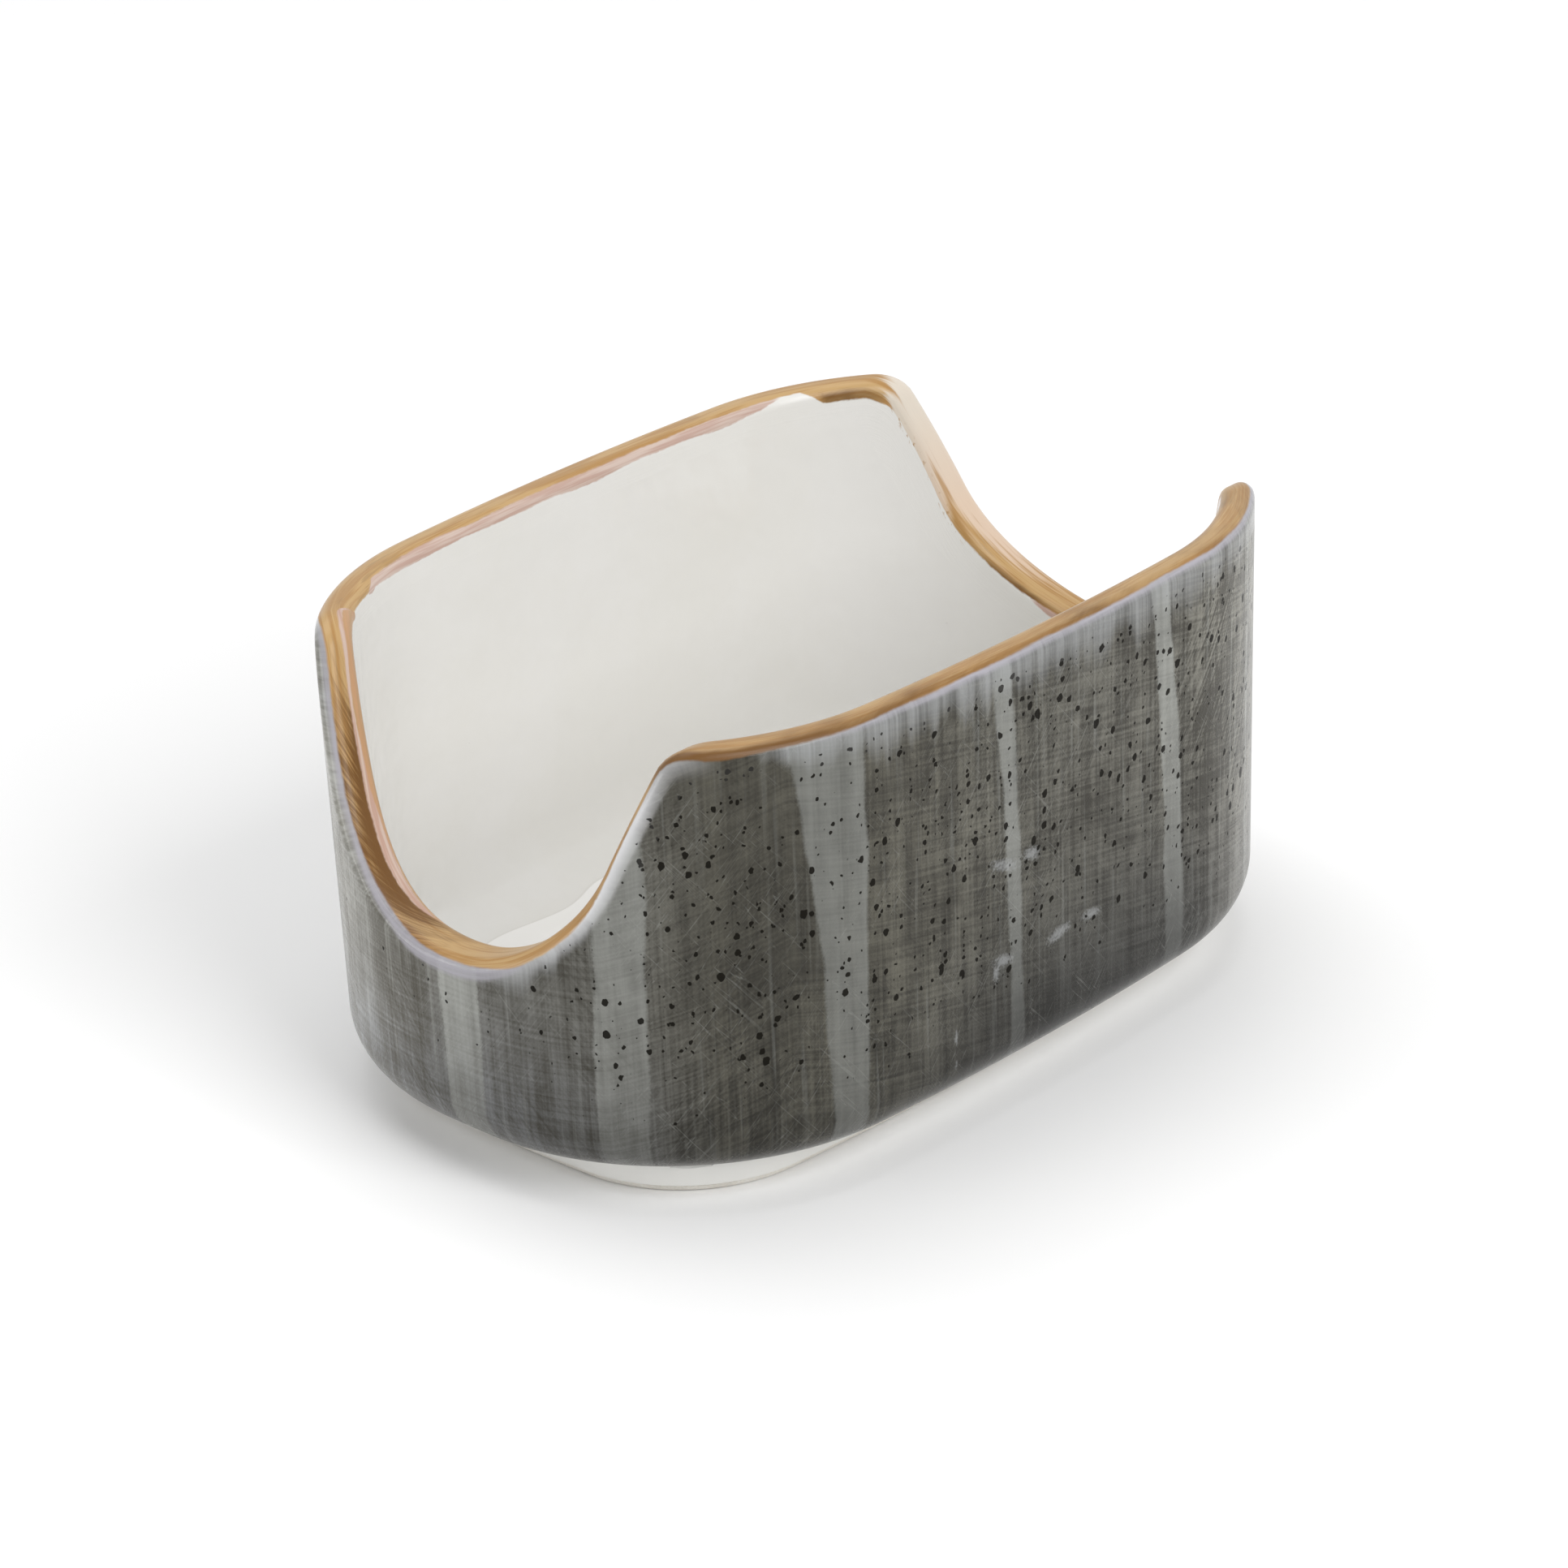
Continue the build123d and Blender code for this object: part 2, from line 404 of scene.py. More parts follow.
        def past_wall(far: Grid) -> Grid:
            """Measure how far a ball would stick out of the wall.

            Args:
                far: How far from the middle each ball is seated.

            Returns:
                Distances, negative inside the wall.
            """
            place = middle + way * (sign * far)[:, None]
            z, _ = self.rim.at(place[:, 1], radius)
            gap, _ = self.trough.gap(place)
            return sign * (gap + self.inset(z, side)) + radius / np.cos(draft)

        span = np.full(len(middle), 3.0 * self.rim_thickness)
        far = bisect(-span / 6, span, past_wall)
        place = middle + way * (sign * far)[:, None]
        z, top = self.rim.at(place[:, 1], radius)
        _, turn = self.trough.gap(place)
        wall = np.column_stack([np.cos(turn), np.sin(turn)]) * np.cos(draft) * sign
        wall = np.column_stack([wall, np.full(len(z), -np.sin(draft) * sign)])
        return np.column_stack([place, z]), wall, np.column_stack([np.zeros(len(z)), top])

    def rounded(self, centre: Grid, first: Grid, last: Grid, radius: float, rows: int) -> Grid:
        """Sweep a round from one unit normal to another about a centre.

        Each row is centre + radius times the two normals mixed at equal angles.

        Args:
            centre: Ball centres.
            first: Unit normals at the first row.
            last: Unit normals at the last row.
            radius: The ball's radius.
            rows: How many rows to make.

        Returns:
            Rows of points.
        """
        share = np.linspace(0.0, 1.0, rows)[:, None, None]
        angle = np.arccos(np.clip((first * last).sum(-1), -1.0, 1.0))[None, :, None]
        mixed = np.sin((1 - share) * angle) * first + np.sin(share * angle) * last
        return centre + radius * mixed / np.sin(angle)

    def underside(self, plan: Grid, clearance: float) -> Grid:
        """Height of the trough's underside over plan points: level, and rising on the round heel."""
        out = np.clip(self.trough.gap(plan)[0] + clearance, 0.0, self.heel)
        return self.foot_height + self.heel - np.sqrt(self.heel**2 - out**2)

    def wall_rows(self, turn: Grid, low: Grid, high: Grid, side: Side, rows: int) -> Grid:
        """Rows of a drafted wall, straight from low to high at fixed outline normals."""
        z = low + (high - low) * np.linspace(0.0, 1.0, rows)[:, None]
        return self.stand(np.broadcast_to(turn, z.shape), self.inset(z, side), z)

    def band_edge(self, turn: Grid, top: Grid, side: Side) -> Grid:
        """Find where the rim band ends on a wall, one band depth below the rim line.

        Args:
            turn: The outline normals' angles.
            top: Heights at which the rim's rounding starts.
            side: The outer or the inner wall.

        Returns:
            Heights of the band's end.
        """

        def above(z: Grid) -> Grid:
            """How far a height lies above the band's end."""
            return self.band - self.rim.depth(self.stand(turn, self.inset(z, side), z))

        return bisect(top - 6.0 * self.band, top, above)

    def upper_profile(self) -> None:
        """Work out the rows from the grey coat's lower edge over the rim to the floor's middle."""
        middle, turn = self.rim_stations()
        way = self.cross_way(middle, turn)
        radius = self.ball_radius()
        ball_out, wall_out, top_out = self.rim_ball(middle, way, Side.OUTER)
        ball_in, wall_in, top_in = self.rim_ball(middle, way, Side.INNER)
        turn_out = np.arctan2(wall_out[:, 1], wall_out[:, 0])
        turn_in = np.arctan2(-wall_in[:, 1], -wall_in[:, 0])
        start_out = (ball_out + radius * wall_out)[:, 2]
        start_in = (ball_in + radius * wall_in)[:, 2]
        edge_out = self.band_edge(turn_out, start_out, Side.OUTER)
        edge_in = self.band_edge(turn_in, start_in, Side.INNER)

        heel_z = self.foot_height + self.heel
        heel_inset = self.inset(heel_z, Side.OUTER) + self.heel / np.cos(self.outer_draft)
        heel_ball = self.stand(turn_out, heel_inset, heel_z)
        wrap = heel_inset - self.inset(self.foot_height, Side.OUTER) - self.grey_wrap
        wrap_turn = np.arccos(wrap / self.heel)
        heel_low = wall_out * np.cos(wrap_turn) + np.array([0.0, 0.0, -np.sin(wrap_turn)])
        heel_low /= np.linalg.norm(heel_low, axis=1, keepdims=True)
        heel = self.rounded(heel_ball, heel_low, wall_out, self.heel, self.heel_rows)

        bowl_z = self.floor + self.inner_heel
        bowl_inset = self.inset(bowl_z, Side.INNER) + self.inner_heel / np.cos(self.inner_draft)
        bowl_ball = self.stand(turn_in, bowl_inset, bowl_z)
        down = np.broadcast_to(np.array([0.0, 0.0, -1.0]), wall_in.shape)
        bowl = self.rounded(bowl_ball, -wall_in, down, self.inner_heel, self.bowl_rows)
        floor = self.drawn_in(bowl[-1], np.linspace(1.0, 0.0, self.floor_rows)[1:])

        wall = self.wall_rows(turn_out, heel[-1, :, 2], edge_out, Side.OUTER, self.outer_rows)
        skirt = self.wall_rows(turn_out, edge_out, start_out, Side.OUTER, self.hem_rows)
        lip_out = self.rounded(ball_out, wall_out, top_out, radius, self.lip_rows)
        lip_in = self.rounded(ball_in, top_in, wall_in, radius, self.lip_rows)
        crest = (lip_out[-1] + lip_in[0]) / 2
        hem = self.wall_rows(turn_in, start_in, edge_in, Side.INNER, self.hem_rows)
        inner = self.wall_rows(turn_in, edge_in, bowl[0, :, 2], Side.INNER, self.inner_rows)

        outer = np.concatenate([heel, wall[1:]])
        band = np.concatenate([skirt, lip_out[1:], crest[None], lip_in, hem[1:]])
        inside = np.concatenate([inner, bowl[1:], floor])
        crest_row = len(outer) + len(skirt) + len(lip_out) - 2
        lip = self.lip_of(np.concatenate([outer, band[1:], inside[1:]]), crest_row)
        band_lip = lip[len(outer) - 1 : len(outer) + len(band) - 1]
        self.parts.update(outer=outer, band=band, inside=inside, turn=turn_out)
        self.parts.update(outer_lip=lip[: len(outer)], band_lip=band_lip, land=lip[crest_row - 1])
        self.parts.update(run=self.run_of(turn_out), heel_inset=np.array(heel_inset))

    def lip_of(self, rows: Grid, crest: int) -> Grid:
        """Lengths along each profile from the rim's crest row, positive outside and negative inside."""
        far = np.cumsum(np.linalg.norm(np.diff(rows, axis=0, prepend=rows[:1]), axis=-1), axis=0)
        return far[crest] - far

    def run_of(self, turn: Grid) -> Grid:
        """Measure along the outline from the near end's middle, as seen to the right from outside.

        Args:
            turn: The outline normals' angles.

        Returns:
            Lengths from minus half the perimeter to plus half of it.
        """
        samples = np.linspace(-np.pi, np.pi, self.samples)
        line = self.trough.point(samples + np.pi, 0.0)
        far = np.concatenate([[0.0], np.cumsum(np.linalg.norm(np.diff(line, axis=0), axis=1))])
        far -= far[-1] / 2
        self.parts["perimeter"] = far[-1] * 2
        return np.interp((turn % FULL_TURN) - np.pi, samples, far)

    def lower_profile(self) -> None:
        """Work out the rows of the foot's outside and of the recess under the floor.

        The root, where the flank meets the sole, is filled by glaze along a quadratic curve.
        """
        turn = self.parts["turn"]
        clearance = float(self.parts["heel_inset"])
        start = self.parts["outer"][0]
        shares = np.linspace(0.0, 1.0, self.foot_rows)[:, None]
        ring = {Side.OUTER: 0.0, Side.INNER: self.foot_ring}

        def flank(z: Grid, side: Side) -> Grid:
            """Points of the ring's outer or inner flank at given heights."""
            inset = ring[side] - side.value * self.foot_flare * z / self.foot_height
            return np.concatenate([self.foot.point(turn, inset), z[:, None]], axis=-1)

        root_z = np.full(len(turn), self.foot_height)
        for _ in range(self.root_steps):
            root_z = self.underside(flank(root_z, Side.OUTER), clearance)
        root = flank(root_z, Side.OUTER)
        out = start[:, :2] - root[:, :2]
        near = self.foot_root / np.linalg.norm(out, axis=1, keepdims=True)
        plan = root[:, :2] + out * (near + (1 - near) * shares[..., None])
        sole = np.concatenate([plan, self.underside(plan, clearance)[..., None]], axis=-1)
        rise = self.wiped + (root_z - self.foot_root - self.wiped) * shares
        side = np.stack([flank(z, Side.OUTER) for z in rise])
        bend = shares[1:-1, :, None]
        fillet = (1 - bend) ** 2 * side[-1] + 2 * bend * (1 - bend) * root + bend**2 * sole[0]

        inner_z = np.full(len(turn), self.foot_height)
        drop = inner_z + (self.wiped - inner_z) * shares
        inner_side = np.stack([flank(z, Side.INNER) for z in drop])
        panel = self.drawn_in(inner_side[0], np.linspace(0.0, 1.0, self.panel_rows)[:-1])
        recess = np.concatenate([panel, inner_side])
        self.parts.update(foot=np.concatenate([side, fillet, sole]), recess=recess)


@dataclass(frozen=True)
class Stripe:
    """A pale upright stripe where the grey glaze ran thin: its run and half width, low and high."""

    low: float
    high: float
    half_low: float
    half_high: float
    strength: float


@dataclass(frozen=True)
class Smudge:
    """A small pale smear on the grey: its run, height, half length, half height and slope."""

    run: float
    height: float
    half_length: float
    half_height: float
    slope: float


# What changes along the run: places in millimetres, and the values there.
COURSES: dict[str, dict[float, float]] = {
    "speck_lean": {-60: 0.1, 34: 0, 60: 0.04, 100: 0.12, 125: 0.12},
    "sway": {20: 0, 40: -6.8, 116: 6.8, 150: 0},
    "stripe_loss": {-60: 0, -30: 0.5, 26: 0.5, 34: 0},
    # Brightness of the grey at each run, partly the glaze's own colour and partly painted light and shade:
    # lighter on the near end and the far right, darker on the front corner, as those faces meet the lamps.
    "tone_and_painted_light": {
        -60: 1.1, -38: 1.2, -28: 2.4, -20: 3.7, -14: 2.8, 2: 1.52, 14: 1.16, 24: 0.92, 30: 0.64,
        40: 0.64, 50: 0.8, 58: 0.94, 70: 0.86, 98: 1.06, 116: 1.6, 150: 1.1,
    },
    # Painted shade low on the front wall.
    "low_shade": {40: 0, 60: 0.36, 76: 0.54, 100: 0.54, 110: 0},
    # Painted light high on the far right.
    "high_light": {90: 0, 108: 0.25, 125: 0.25},
    "cool": {-60: 0.6, -20: 1, 10: 1, 24: 0.7, 32: 0.1, 50: 0.1, 64: 0.3, 80: 0.45, 105: 0.5},
    "hatch": {
        -60: 0.9, -34: 0.85, -26: 0.5, 0: 0.48, 16: 0.5, 24: 0.75, 34: 0.8, 60: 0.85, 88: 0.9,
        104: 1.05, 118: 1.25, 150: 0.95,
    },
    "calm": {24: 0, 31: 0.4, 46: 0.4, 66: 0},
    "rising_share": {-60: 0.8, -30: 0.4, 34: 0.4, 60: 0.35, 92: 0.5, 104: 1.4, 125: 1.4, 150: 0.9},
    "falling_share": {-60: 0.9, -30: 1.8, 5: 1.8, 24: 0.9, 60: 0.6, 100: 0.5, 150: 0.8},
    "speckle": {
        -60: 0.9, -25: 0.45, 0: 0.6, 12: 0.9, 18: 1, 30: 1.18, 60: 1.2, 100: 1.2, 125: 1.15,
        150: 0.95,
    },
    "fade": {
        -50: 3, -22: 1.2, -9: 0.6, 4: 1.2, 10: 3.4, 18: 2.6, 24: 0.8, 36: 0.3, 41: 2.6, 52: 4.2,
        70: 4.4, 96: 5.2, 114: 4, 130: 3, 150: 3,
    },
    # Painted highlight: how much near-white stands in for a lamp's reflection on the near dip's shoulders,
    # on edges where the glaze also runs thin.
    "painted_highlight": {
        -40: 0, -36: 0.8, -32: 0.7, -28: 0, -10: 0, 6: 0, 13: 0.35, 20: 0.85, 26: 0.9, 29: 0.35,
        33: 0,
    },
    "reach_out": {
        -60: 2, -34: 1.7, -27: 1.2, -20: 0.9, -14: 0.55, -9: 0.6, -4: 1, 2: 1.15, 7: 1.6, 10: 2,
        14: 2.1, 20: 1.8, 26: 1.6, 29: 1.6, 34: 1.75, 44: 1.4, 60: 1.1, 90: 1, 126: 1, 150: 0.9,
    },
    "reach_in": {
        -150: 1.4, -140: 1.5, -126: 1.8, -123.5: 2.5, -115.5: 2.7, -113.5: 1.6, -112: 0.9,
        -107: 0.95, -42: 0.95, -39.6: 2, -32.6: 1.9, -31.2: -0.4, -29: -0.6, -25: -0.7,
        -20: -0.7, -14: -0.7, -9: -0.35, -4: 0.7, 2: 1.7, 20: 1.7, 140: 1.6,
    },
    # Pinkish strip inside the ochre: partly thin paint, partly a painted reflection of the lamps on the
    # rim's inner rounding.
    "pink_and_reflection": {
        -151: 0.9, -146: 0.8, -142: 0, -110: 0, -106: 1, -80: 1.3, -41: 1.2, -39.4: 0, -32.5: 0,
        -31.3: 0.5, -29: 0.5, -25: 0.5, -20: 0.8, -14: 1.5, -9: 0.9, -5: 0, 2: 0, 30: 0.5,
        110: 0.7, 140: 0.6,
    },
    "seam": {
        -33.2: 0.1, -32.2: 1.2, -31.2: 2, -28: 2, -22: 2.6, -4: 2.6, 4: 1.2, 12: 0.5, 20: 0.3,
        30: 0.1,
    },
    "worn_out": {
        -153: 0.1, -147: 0.3, -142: 0.6, -137: 0.85, -131: 1, -124.5: 1, -121.5: 0.2, -118: 0,
        120: 0, 128: 0.3, 138: 0.25, 148: 0.05,
    },
    "worn_in": {
        -153: 0, -138: 0, -133.5: 0.3, -130.5: 0.75, -127: 1.1, -125.5: 1, -123.5: 0.2, -121: 0,
    },
    "deep": {
        -148: 0.3, -126: 0, -116: 0.15, -100: 0.1, -34: 0.05, -27: 0.3, -22: 0.85, -14: 1,
        -7: 0.8, -2: 0.35, 4: 0.15, 26: 0.5, 30: 0.5, 42: 0.5, 60: 0.5, 120: 0.44, 140: 0.25,
        148: 0.4,
    },
    "inner_dark": {-27: 0, -21: 0.5, -9: 0.4, -3: 0},
    "stroke": {-125.5: 0, -123.5: 0.62, -119: 0.72, -115.5: 0.66, -114.2: 0},
    "line": {-149: 0, -143: 0.7, -136: 0.5, -132: 0},
    "singe": {27: 0, 30: 0.8, 38: 0.8, 46: 0.5, 60: 0.3, 110: 0.2},
    "hatching": {-30: 0.1, -24: 1, -8: 1, 0: 0.4, 10: 0.1},
    # Lavender strip past the ochre's outer edge: partly the glaze thinning there, partly a painted
    # highlight of a lamp on the rim's outer rounding.
    "haze_and_highlight": {
        -44: 0.5, -39: 0, -32: 0, -28: 0.6, -20: 0.6, -14: 0.75, -9: 1, -4: 1.5, 2: 1.6, 7: 1.2,
        10: 0.5, 14: 0, 38: 0, 46: 0.35, 60: 0.55, 110: 0.6, 130: 0.6,
    },
    "peach": {-150: 1, -132: 0.8, -126: 0},
    "fleck": {-136: 0, -132: 1, -126: 1, -123: 0},
}


@dataclass
class GlazeMap:
    """Where the glazes lie on a coat, as fields over its rows of points.

    Runs are measured along the outline from the near end's middle, to the right as seen from outside,
    in millimetres. The lip is each point's distance along its profile from the rim's crest.
    """

    form: HolderForm
    rows: Grid
    lip: Grid
    rising_slant: float = 0.75
    falling_slant: float = 0.85
    hatch_slant: float = 2.2
    speck_squash: float = 0.85
    stripes: tuple[Stripe, ...] = (
        Stripe(2.4, 2.2, 2.7, 2.8, 0.9),
        Stripe(21.6, 22.7, 2.8, 2.9, 0.92),
        Stripe(46.6, 44.7, 2.2, 4.6, 0.98),
        Stripe(70.9, 68.7, 0.95, 1.4, 1.0),
        Stripe(97.2, 94.4, 1.6, 1.5, 1.0),
        Stripe(114.4, 114.2, 0.5, 0.4, 0.6),
        Stripe(131.0, 130.2, 2.4, 3.0, 0.85),
        Stripe(151.5, 152.2, 1.3, 1.6, 0.95),
        Stripe(-36.4, -37.0, 1.5, 1.8, 0.7),
        Stripe(-61.0, -60.2, 2.7, 3.8, 0.8),
        Stripe(-84.2, -85.0, 1.4, 1.5, 0.95),
        Stripe(-109.6, -108.4, 2.9, 2.6, 0.85),
        Stripe(-134.0, -134.6, 1.6, 1.9, 0.9),
    )
    smudges: tuple[Smudge, ...] = (
        Smudge(68.9, 29.4, 2.8, 0.9, -0.35),
        Smudge(73.1, 29.2, 1.7, 1.0, -0.2),
        Smudge(82.6, 18.4, 2.1, 0.8, -0.1),
        Smudge(77.3, 18.2, 2.4, 0.9, 0.15),
        Smudge(68.6, 18.4, 2.2, 0.9, -0.2),
        Smudge(67.4, 17.3, 0.6, 1.4, 0.0),
        Smudge(61.2, 12.2, 0.35, 1.1, 0.0),
        Smudge(61.1, 9.0, 0.3, 1.0, 0.0),
        Smudge(-72.0, 22.0, 2.0, 0.5, 0.2),
        Smudge(-66.5, 20.8, 1.4, 0.5, 0.0),
    )

    @property
    def run(self) -> Grid:
        """The stations' runs in millimetres."""
        return self.form.parts["run"] / MM

    @property
    def period(self) -> float:
        """The outline's whole length in millimetres."""
        return float(self.form.parts["perimeter"]) / MM

    @property
    def z(self) -> Grid:
        """The points' heights in millimetres."""
        return self.rows[..., 2] / MM

    @property
    def outside(self) -> Grid:
        """How far down the outside from the rim's flat, in millimetres."""
        return (self.lip - self.form.parts["land"]) / MM

    @property
    def inside(self) -> Grid:
        """How far down the inside from the rim's flat, in millimetres."""
        return (-self.lip - self.form.parts["land"]) / MM

    def along(self, name: str) -> Grid:
        """Carry a course to every station, in straight steps round the whole outline."""
        course = COURSES[name]
        return np.interp(self.run, list(course), list(course.values()), period=self.period)

    def waver(self, seed: float, length: float) -> Grid:
        """A slow wander from -1 to 1 along the rim, made of three waves that close round it.

        Args:
            seed: Where the waves start.
            length: About how long a wave is, in millimetres.

        Returns:
            One value for each station.
        """
        turn = self.form.parts["rim_turn"]
        count = np.round(float(self.form.parts["rim_length"]) / MM / length)
        waves = [np.sin(turn * (count + 5 * k) + seed * (k + 1.7)) for k in (0, 1, 3)]
        return (waves[0] + 0.7 * waves[1] + 0.5 * waves[2]) / 2.2

    def rings(self) -> dict[str, Grid]:
        """Coordinates on the glaze that close round the holder without a seam, in millimetres.

        The run is wound on a circle of the outline's own length, so that unrolled holds the circle's
        point and the height. The slants shift the run with the height, for strokes that lean, and the
        sweep shifts the height slowly along the run, for level lines that dip along the front. The rim
        flow winds the rim's own length instead and holds the distance across the rim.

        Returns:
            Vector fields by name.
        """
        z, across = self.z, self.lip / MM
        loop, rim_loop = self.form.parts["perimeter"], self.form.parts["rim_length"]
        turn = np.broadcast_to(self.form.parts["run"] / loop * FULL_TURN, z.shape)
        rim_turn = np.broadcast_to(self.form.parts["rim_turn"], z.shape)
        per_mm = FULL_TURN * MM / loop
        rim_per_mm = FULL_TURN * MM / rim_loop

        def wind(angle: Grid, length: float, third: Grid) -> Grid:
            """Wind an angle on a circle of a given length and add a third part."""
            radius = float(length) / MM / FULL_TURN
            return np.stack([radius * np.cos(angle), radius * np.sin(angle), third], axis=-1)

        speck_turn = turn - self.along("speck_lean") * z * per_mm
        return {
            "unrolled": wind(turn, loop, z),
            "swept": wind(turn, loop, z + self.along("sway")),
            "rising": wind(turn - self.rising_slant * z * per_mm, loop, z),
            "falling": wind(turn + self.falling_slant * z * per_mm, loop, z),
            "speck_place": wind(speck_turn, loop, self.speck_squash * z),
            "rim_flow": wind(rim_turn, rim_loop, across),
            "rim_hatch": wind(rim_turn + self.hatch_slant * across * rim_per_mm, rim_loop, across),
        }

    def stripe_fields(self) -> dict[str, Grid]:
        """How deep each point lies inside a pale stripe, in millimetres, and that stripe's strength.

        The depth is the half width less the distance from the stripe's wavering middle line, and the
        deepest stripe counts. Middle and half width change with the square of the height, and the near
        end's stripes weaken towards the heel.

        Returns:
            Two fields by name.
        """
        z = self.z
        share = np.clip(z / (self.form.rim.height / MM), 0.0, 1.0) ** 2
        table = np.array([astuple(stripe) for stripe in self.stripes])
        low, high, half_low, half_high, strength = table.T[:, :, None, None]
        wander = 0.12 * np.sin(z * 0.16 + low) + 0.05 * np.sin(z * 0.57 + 2 * low)
        middle = low + (high - low) * share + wander
        off = (self.run - middle + self.period / 2) % self.period - self.period / 2
        half = half_low + (half_high - half_low) * share + 0.10 * np.sin(z * 0.33 + 3 * low)
        depth = half - np.abs(off)
        best = strength[:, 0, 0][depth.argmax(axis=0)]
        loss = self.along("stripe_loss") * (1.0 - smooth(z, 8.0, 28.0))
        return {"stripe": depth.max(axis=0), "stripe_strength": best * (1.0 - loss)}

    def smudge_field(self) -> Grid:
        """How deep each point lies inside a smudge: 1 in its middle, 0 at its leaning oval edge.

        Returns:
            One field, negative outside the smudges.
        """
        table = np.array([astuple(smudge) for smudge in self.smudges])
        middle, height, half_length, half_height, slope = table.T[:, :, None, None]
        off = self.run - middle
        across = (self.z - height - slope * off) / half_height
        return np.clip(1.0 - np.hypot(off / half_length, across), -3.0, 1.0).max(axis=0)

    def grey_fields(self) -> dict[str, Grid]:
        """Fields that the grey glaze reads: the rings, the stripes, and its slow changes of brightness,
        partly the glaze's own colour and partly painted light and shade.

        Returns:
            Fields by name.
        """
        z, under = self.z, self.outside
        # Painted shade and light: darker towards the heel, darker still low on the front, lighter high on
        # the far right.
        shade = self.along("low_shade") * (1.0 - smooth(z, 10.0, 36.0))
        light = self.along("high_light") * smooth(z, 32.0, 48.0)
        tone_and_painted_light = 0.78 + 0.22 * smooth(z, 7.0, 17.0) - shade + light
        speckle = self.along("speckle") * (0.25 + 0.75 * smooth(z, 7.0, 20.0))
        calm = self.along("calm") * smooth(z, 16.0, 30.0)
        fade = self.along("fade") * (1.0 + 0.25 * self.waver(0.4, 9.0))
        fields = self.rings() | self.stripe_fields()
        fields |= {
            "tone_and_painted_light": self.along("tone_and_painted_light") * tone_and_painted_light,
            "cool": self.along("cool") * (0.6 + 0.4 * smooth(-z, -26.0, -9.0)),
            "hatch": self.along("hatch") * (1.0 - calm),
            "speckle": speckle * smooth(under, 2.1, 3.4),
            "smudge": self.smudge_field(),
            "under": under,
            "fade": np.broadcast_to(fade, z.shape),
        }
        # The last of these carries the painted highlight on the near dip's shoulders.
        for name in ("rising_share", "falling_share", "painted_highlight"):
            fields[name] = np.broadcast_to(self.along(name), z.shape)
        return fields

    def rim_fields(self) -> dict[str, Grid]:
        """Fields that the rim's paint reads, besides those of the grey glaze.

        Returns:
            Fields by name. The depths of paint are in millimetres, positive on the paint.
        """
        outside, inside = self.outside, self.inside
        reach_out, reach_in = self.along("reach_out"), self.along("reach_in")
        worn_out, worn_in = self.along("worn_out"), self.along("worn_in")
        pink_and_reflection = np.clip(self.along("pink_and_reflection") * (1 + 0.25 * self.waver(0.8, 21.0)), 0.0, None)
        dark = self.along("deep") + self.along("inner_dark") * smooth(inside, -2.2, -0.6)
        dark = dark + self.along("stroke") * smooth(inside - reach_in, -1.7, -0.8)
        dark = dark + self.along("line") * smooth(inside - reach_in, -0.9, -0.3)
        fields = {
            "paint_out": reach_out + 0.10 * self.waver(1.3, 24.0) - outside,
            "paint_in": reach_in + 0.10 * self.waver(2.9, 18.0) - inside,
            "worn": worn_in + (worn_out - worn_in) * smooth(self.lip / MM, -1.6, 0.4),
            "deep": dark + self.along("singe") * smooth(outside - reach_out, -1.5, -0.1),
            "pink_and_reflection": np.broadcast_to(pink_and_reflection, outside.shape),
        }
        for name in ("seam", "peach", "hatching", "fleck", "haze_and_highlight"):
            fields[name] = np.broadcast_to(self.along(name), outside.shape)
        return fields


@dataclass(frozen=True)
class Weave:
    """A noise over one of the mesh's rings, stretched along and up it."""

    ring: str
    along: float
    up: float
    detail: float = 1.0


WEAVES: dict[str, Weave] = {
    "cloud": Weave("unrolled", 0.08, 0.06, 2.0),
    "blotch": Weave("unrolled", 0.36, 0.24, 3.0),
    "runs": Weave("unrolled", 0.62, 0.02, 2.0),
    "rays": Weave("unrolled", 1.3, 0.045, 2.0),
    "upright": Weave("unrolled", 3.0, 0.08),
    "level": Weave("swept", 0.10, 2.8),
    "grain": Weave("unrolled", 3.6, 3.6),
    "patch": Weave("unrolled", 0.09, 0.07),
    "strokes": Weave("rising", 2.6, 0.16),
    "wipes": Weave("falling", 2.4, 0.14),
    "rising_lines": Weave("rising", 1.5, 0.05),
    "falling_lines": Weave("falling", 1.3, 0.045),
    "wide": Weave("rim_flow", 0.05, 0.9, 2.0),
    "fine": Weave("rim_flow", 0.14, 4.4, 2.0),
    "blot": Weave("rim_flow", 0.14, 0.35, 2.0),
    "hatch": Weave("rim_hatch", 1.3, 0.2, 2.0),
    "torn": Weave("rim_flow", 0.22, 0.8, 3.0),
    "nib": Weave("rim_flow", 1.4, 2.0, 2.0),
    "streak": Weave("rim_flow", 0.10, 2.6, 2.0),
    "crumbs": Weave("rim_flow", 1.3, 1.3, 2.0),
}


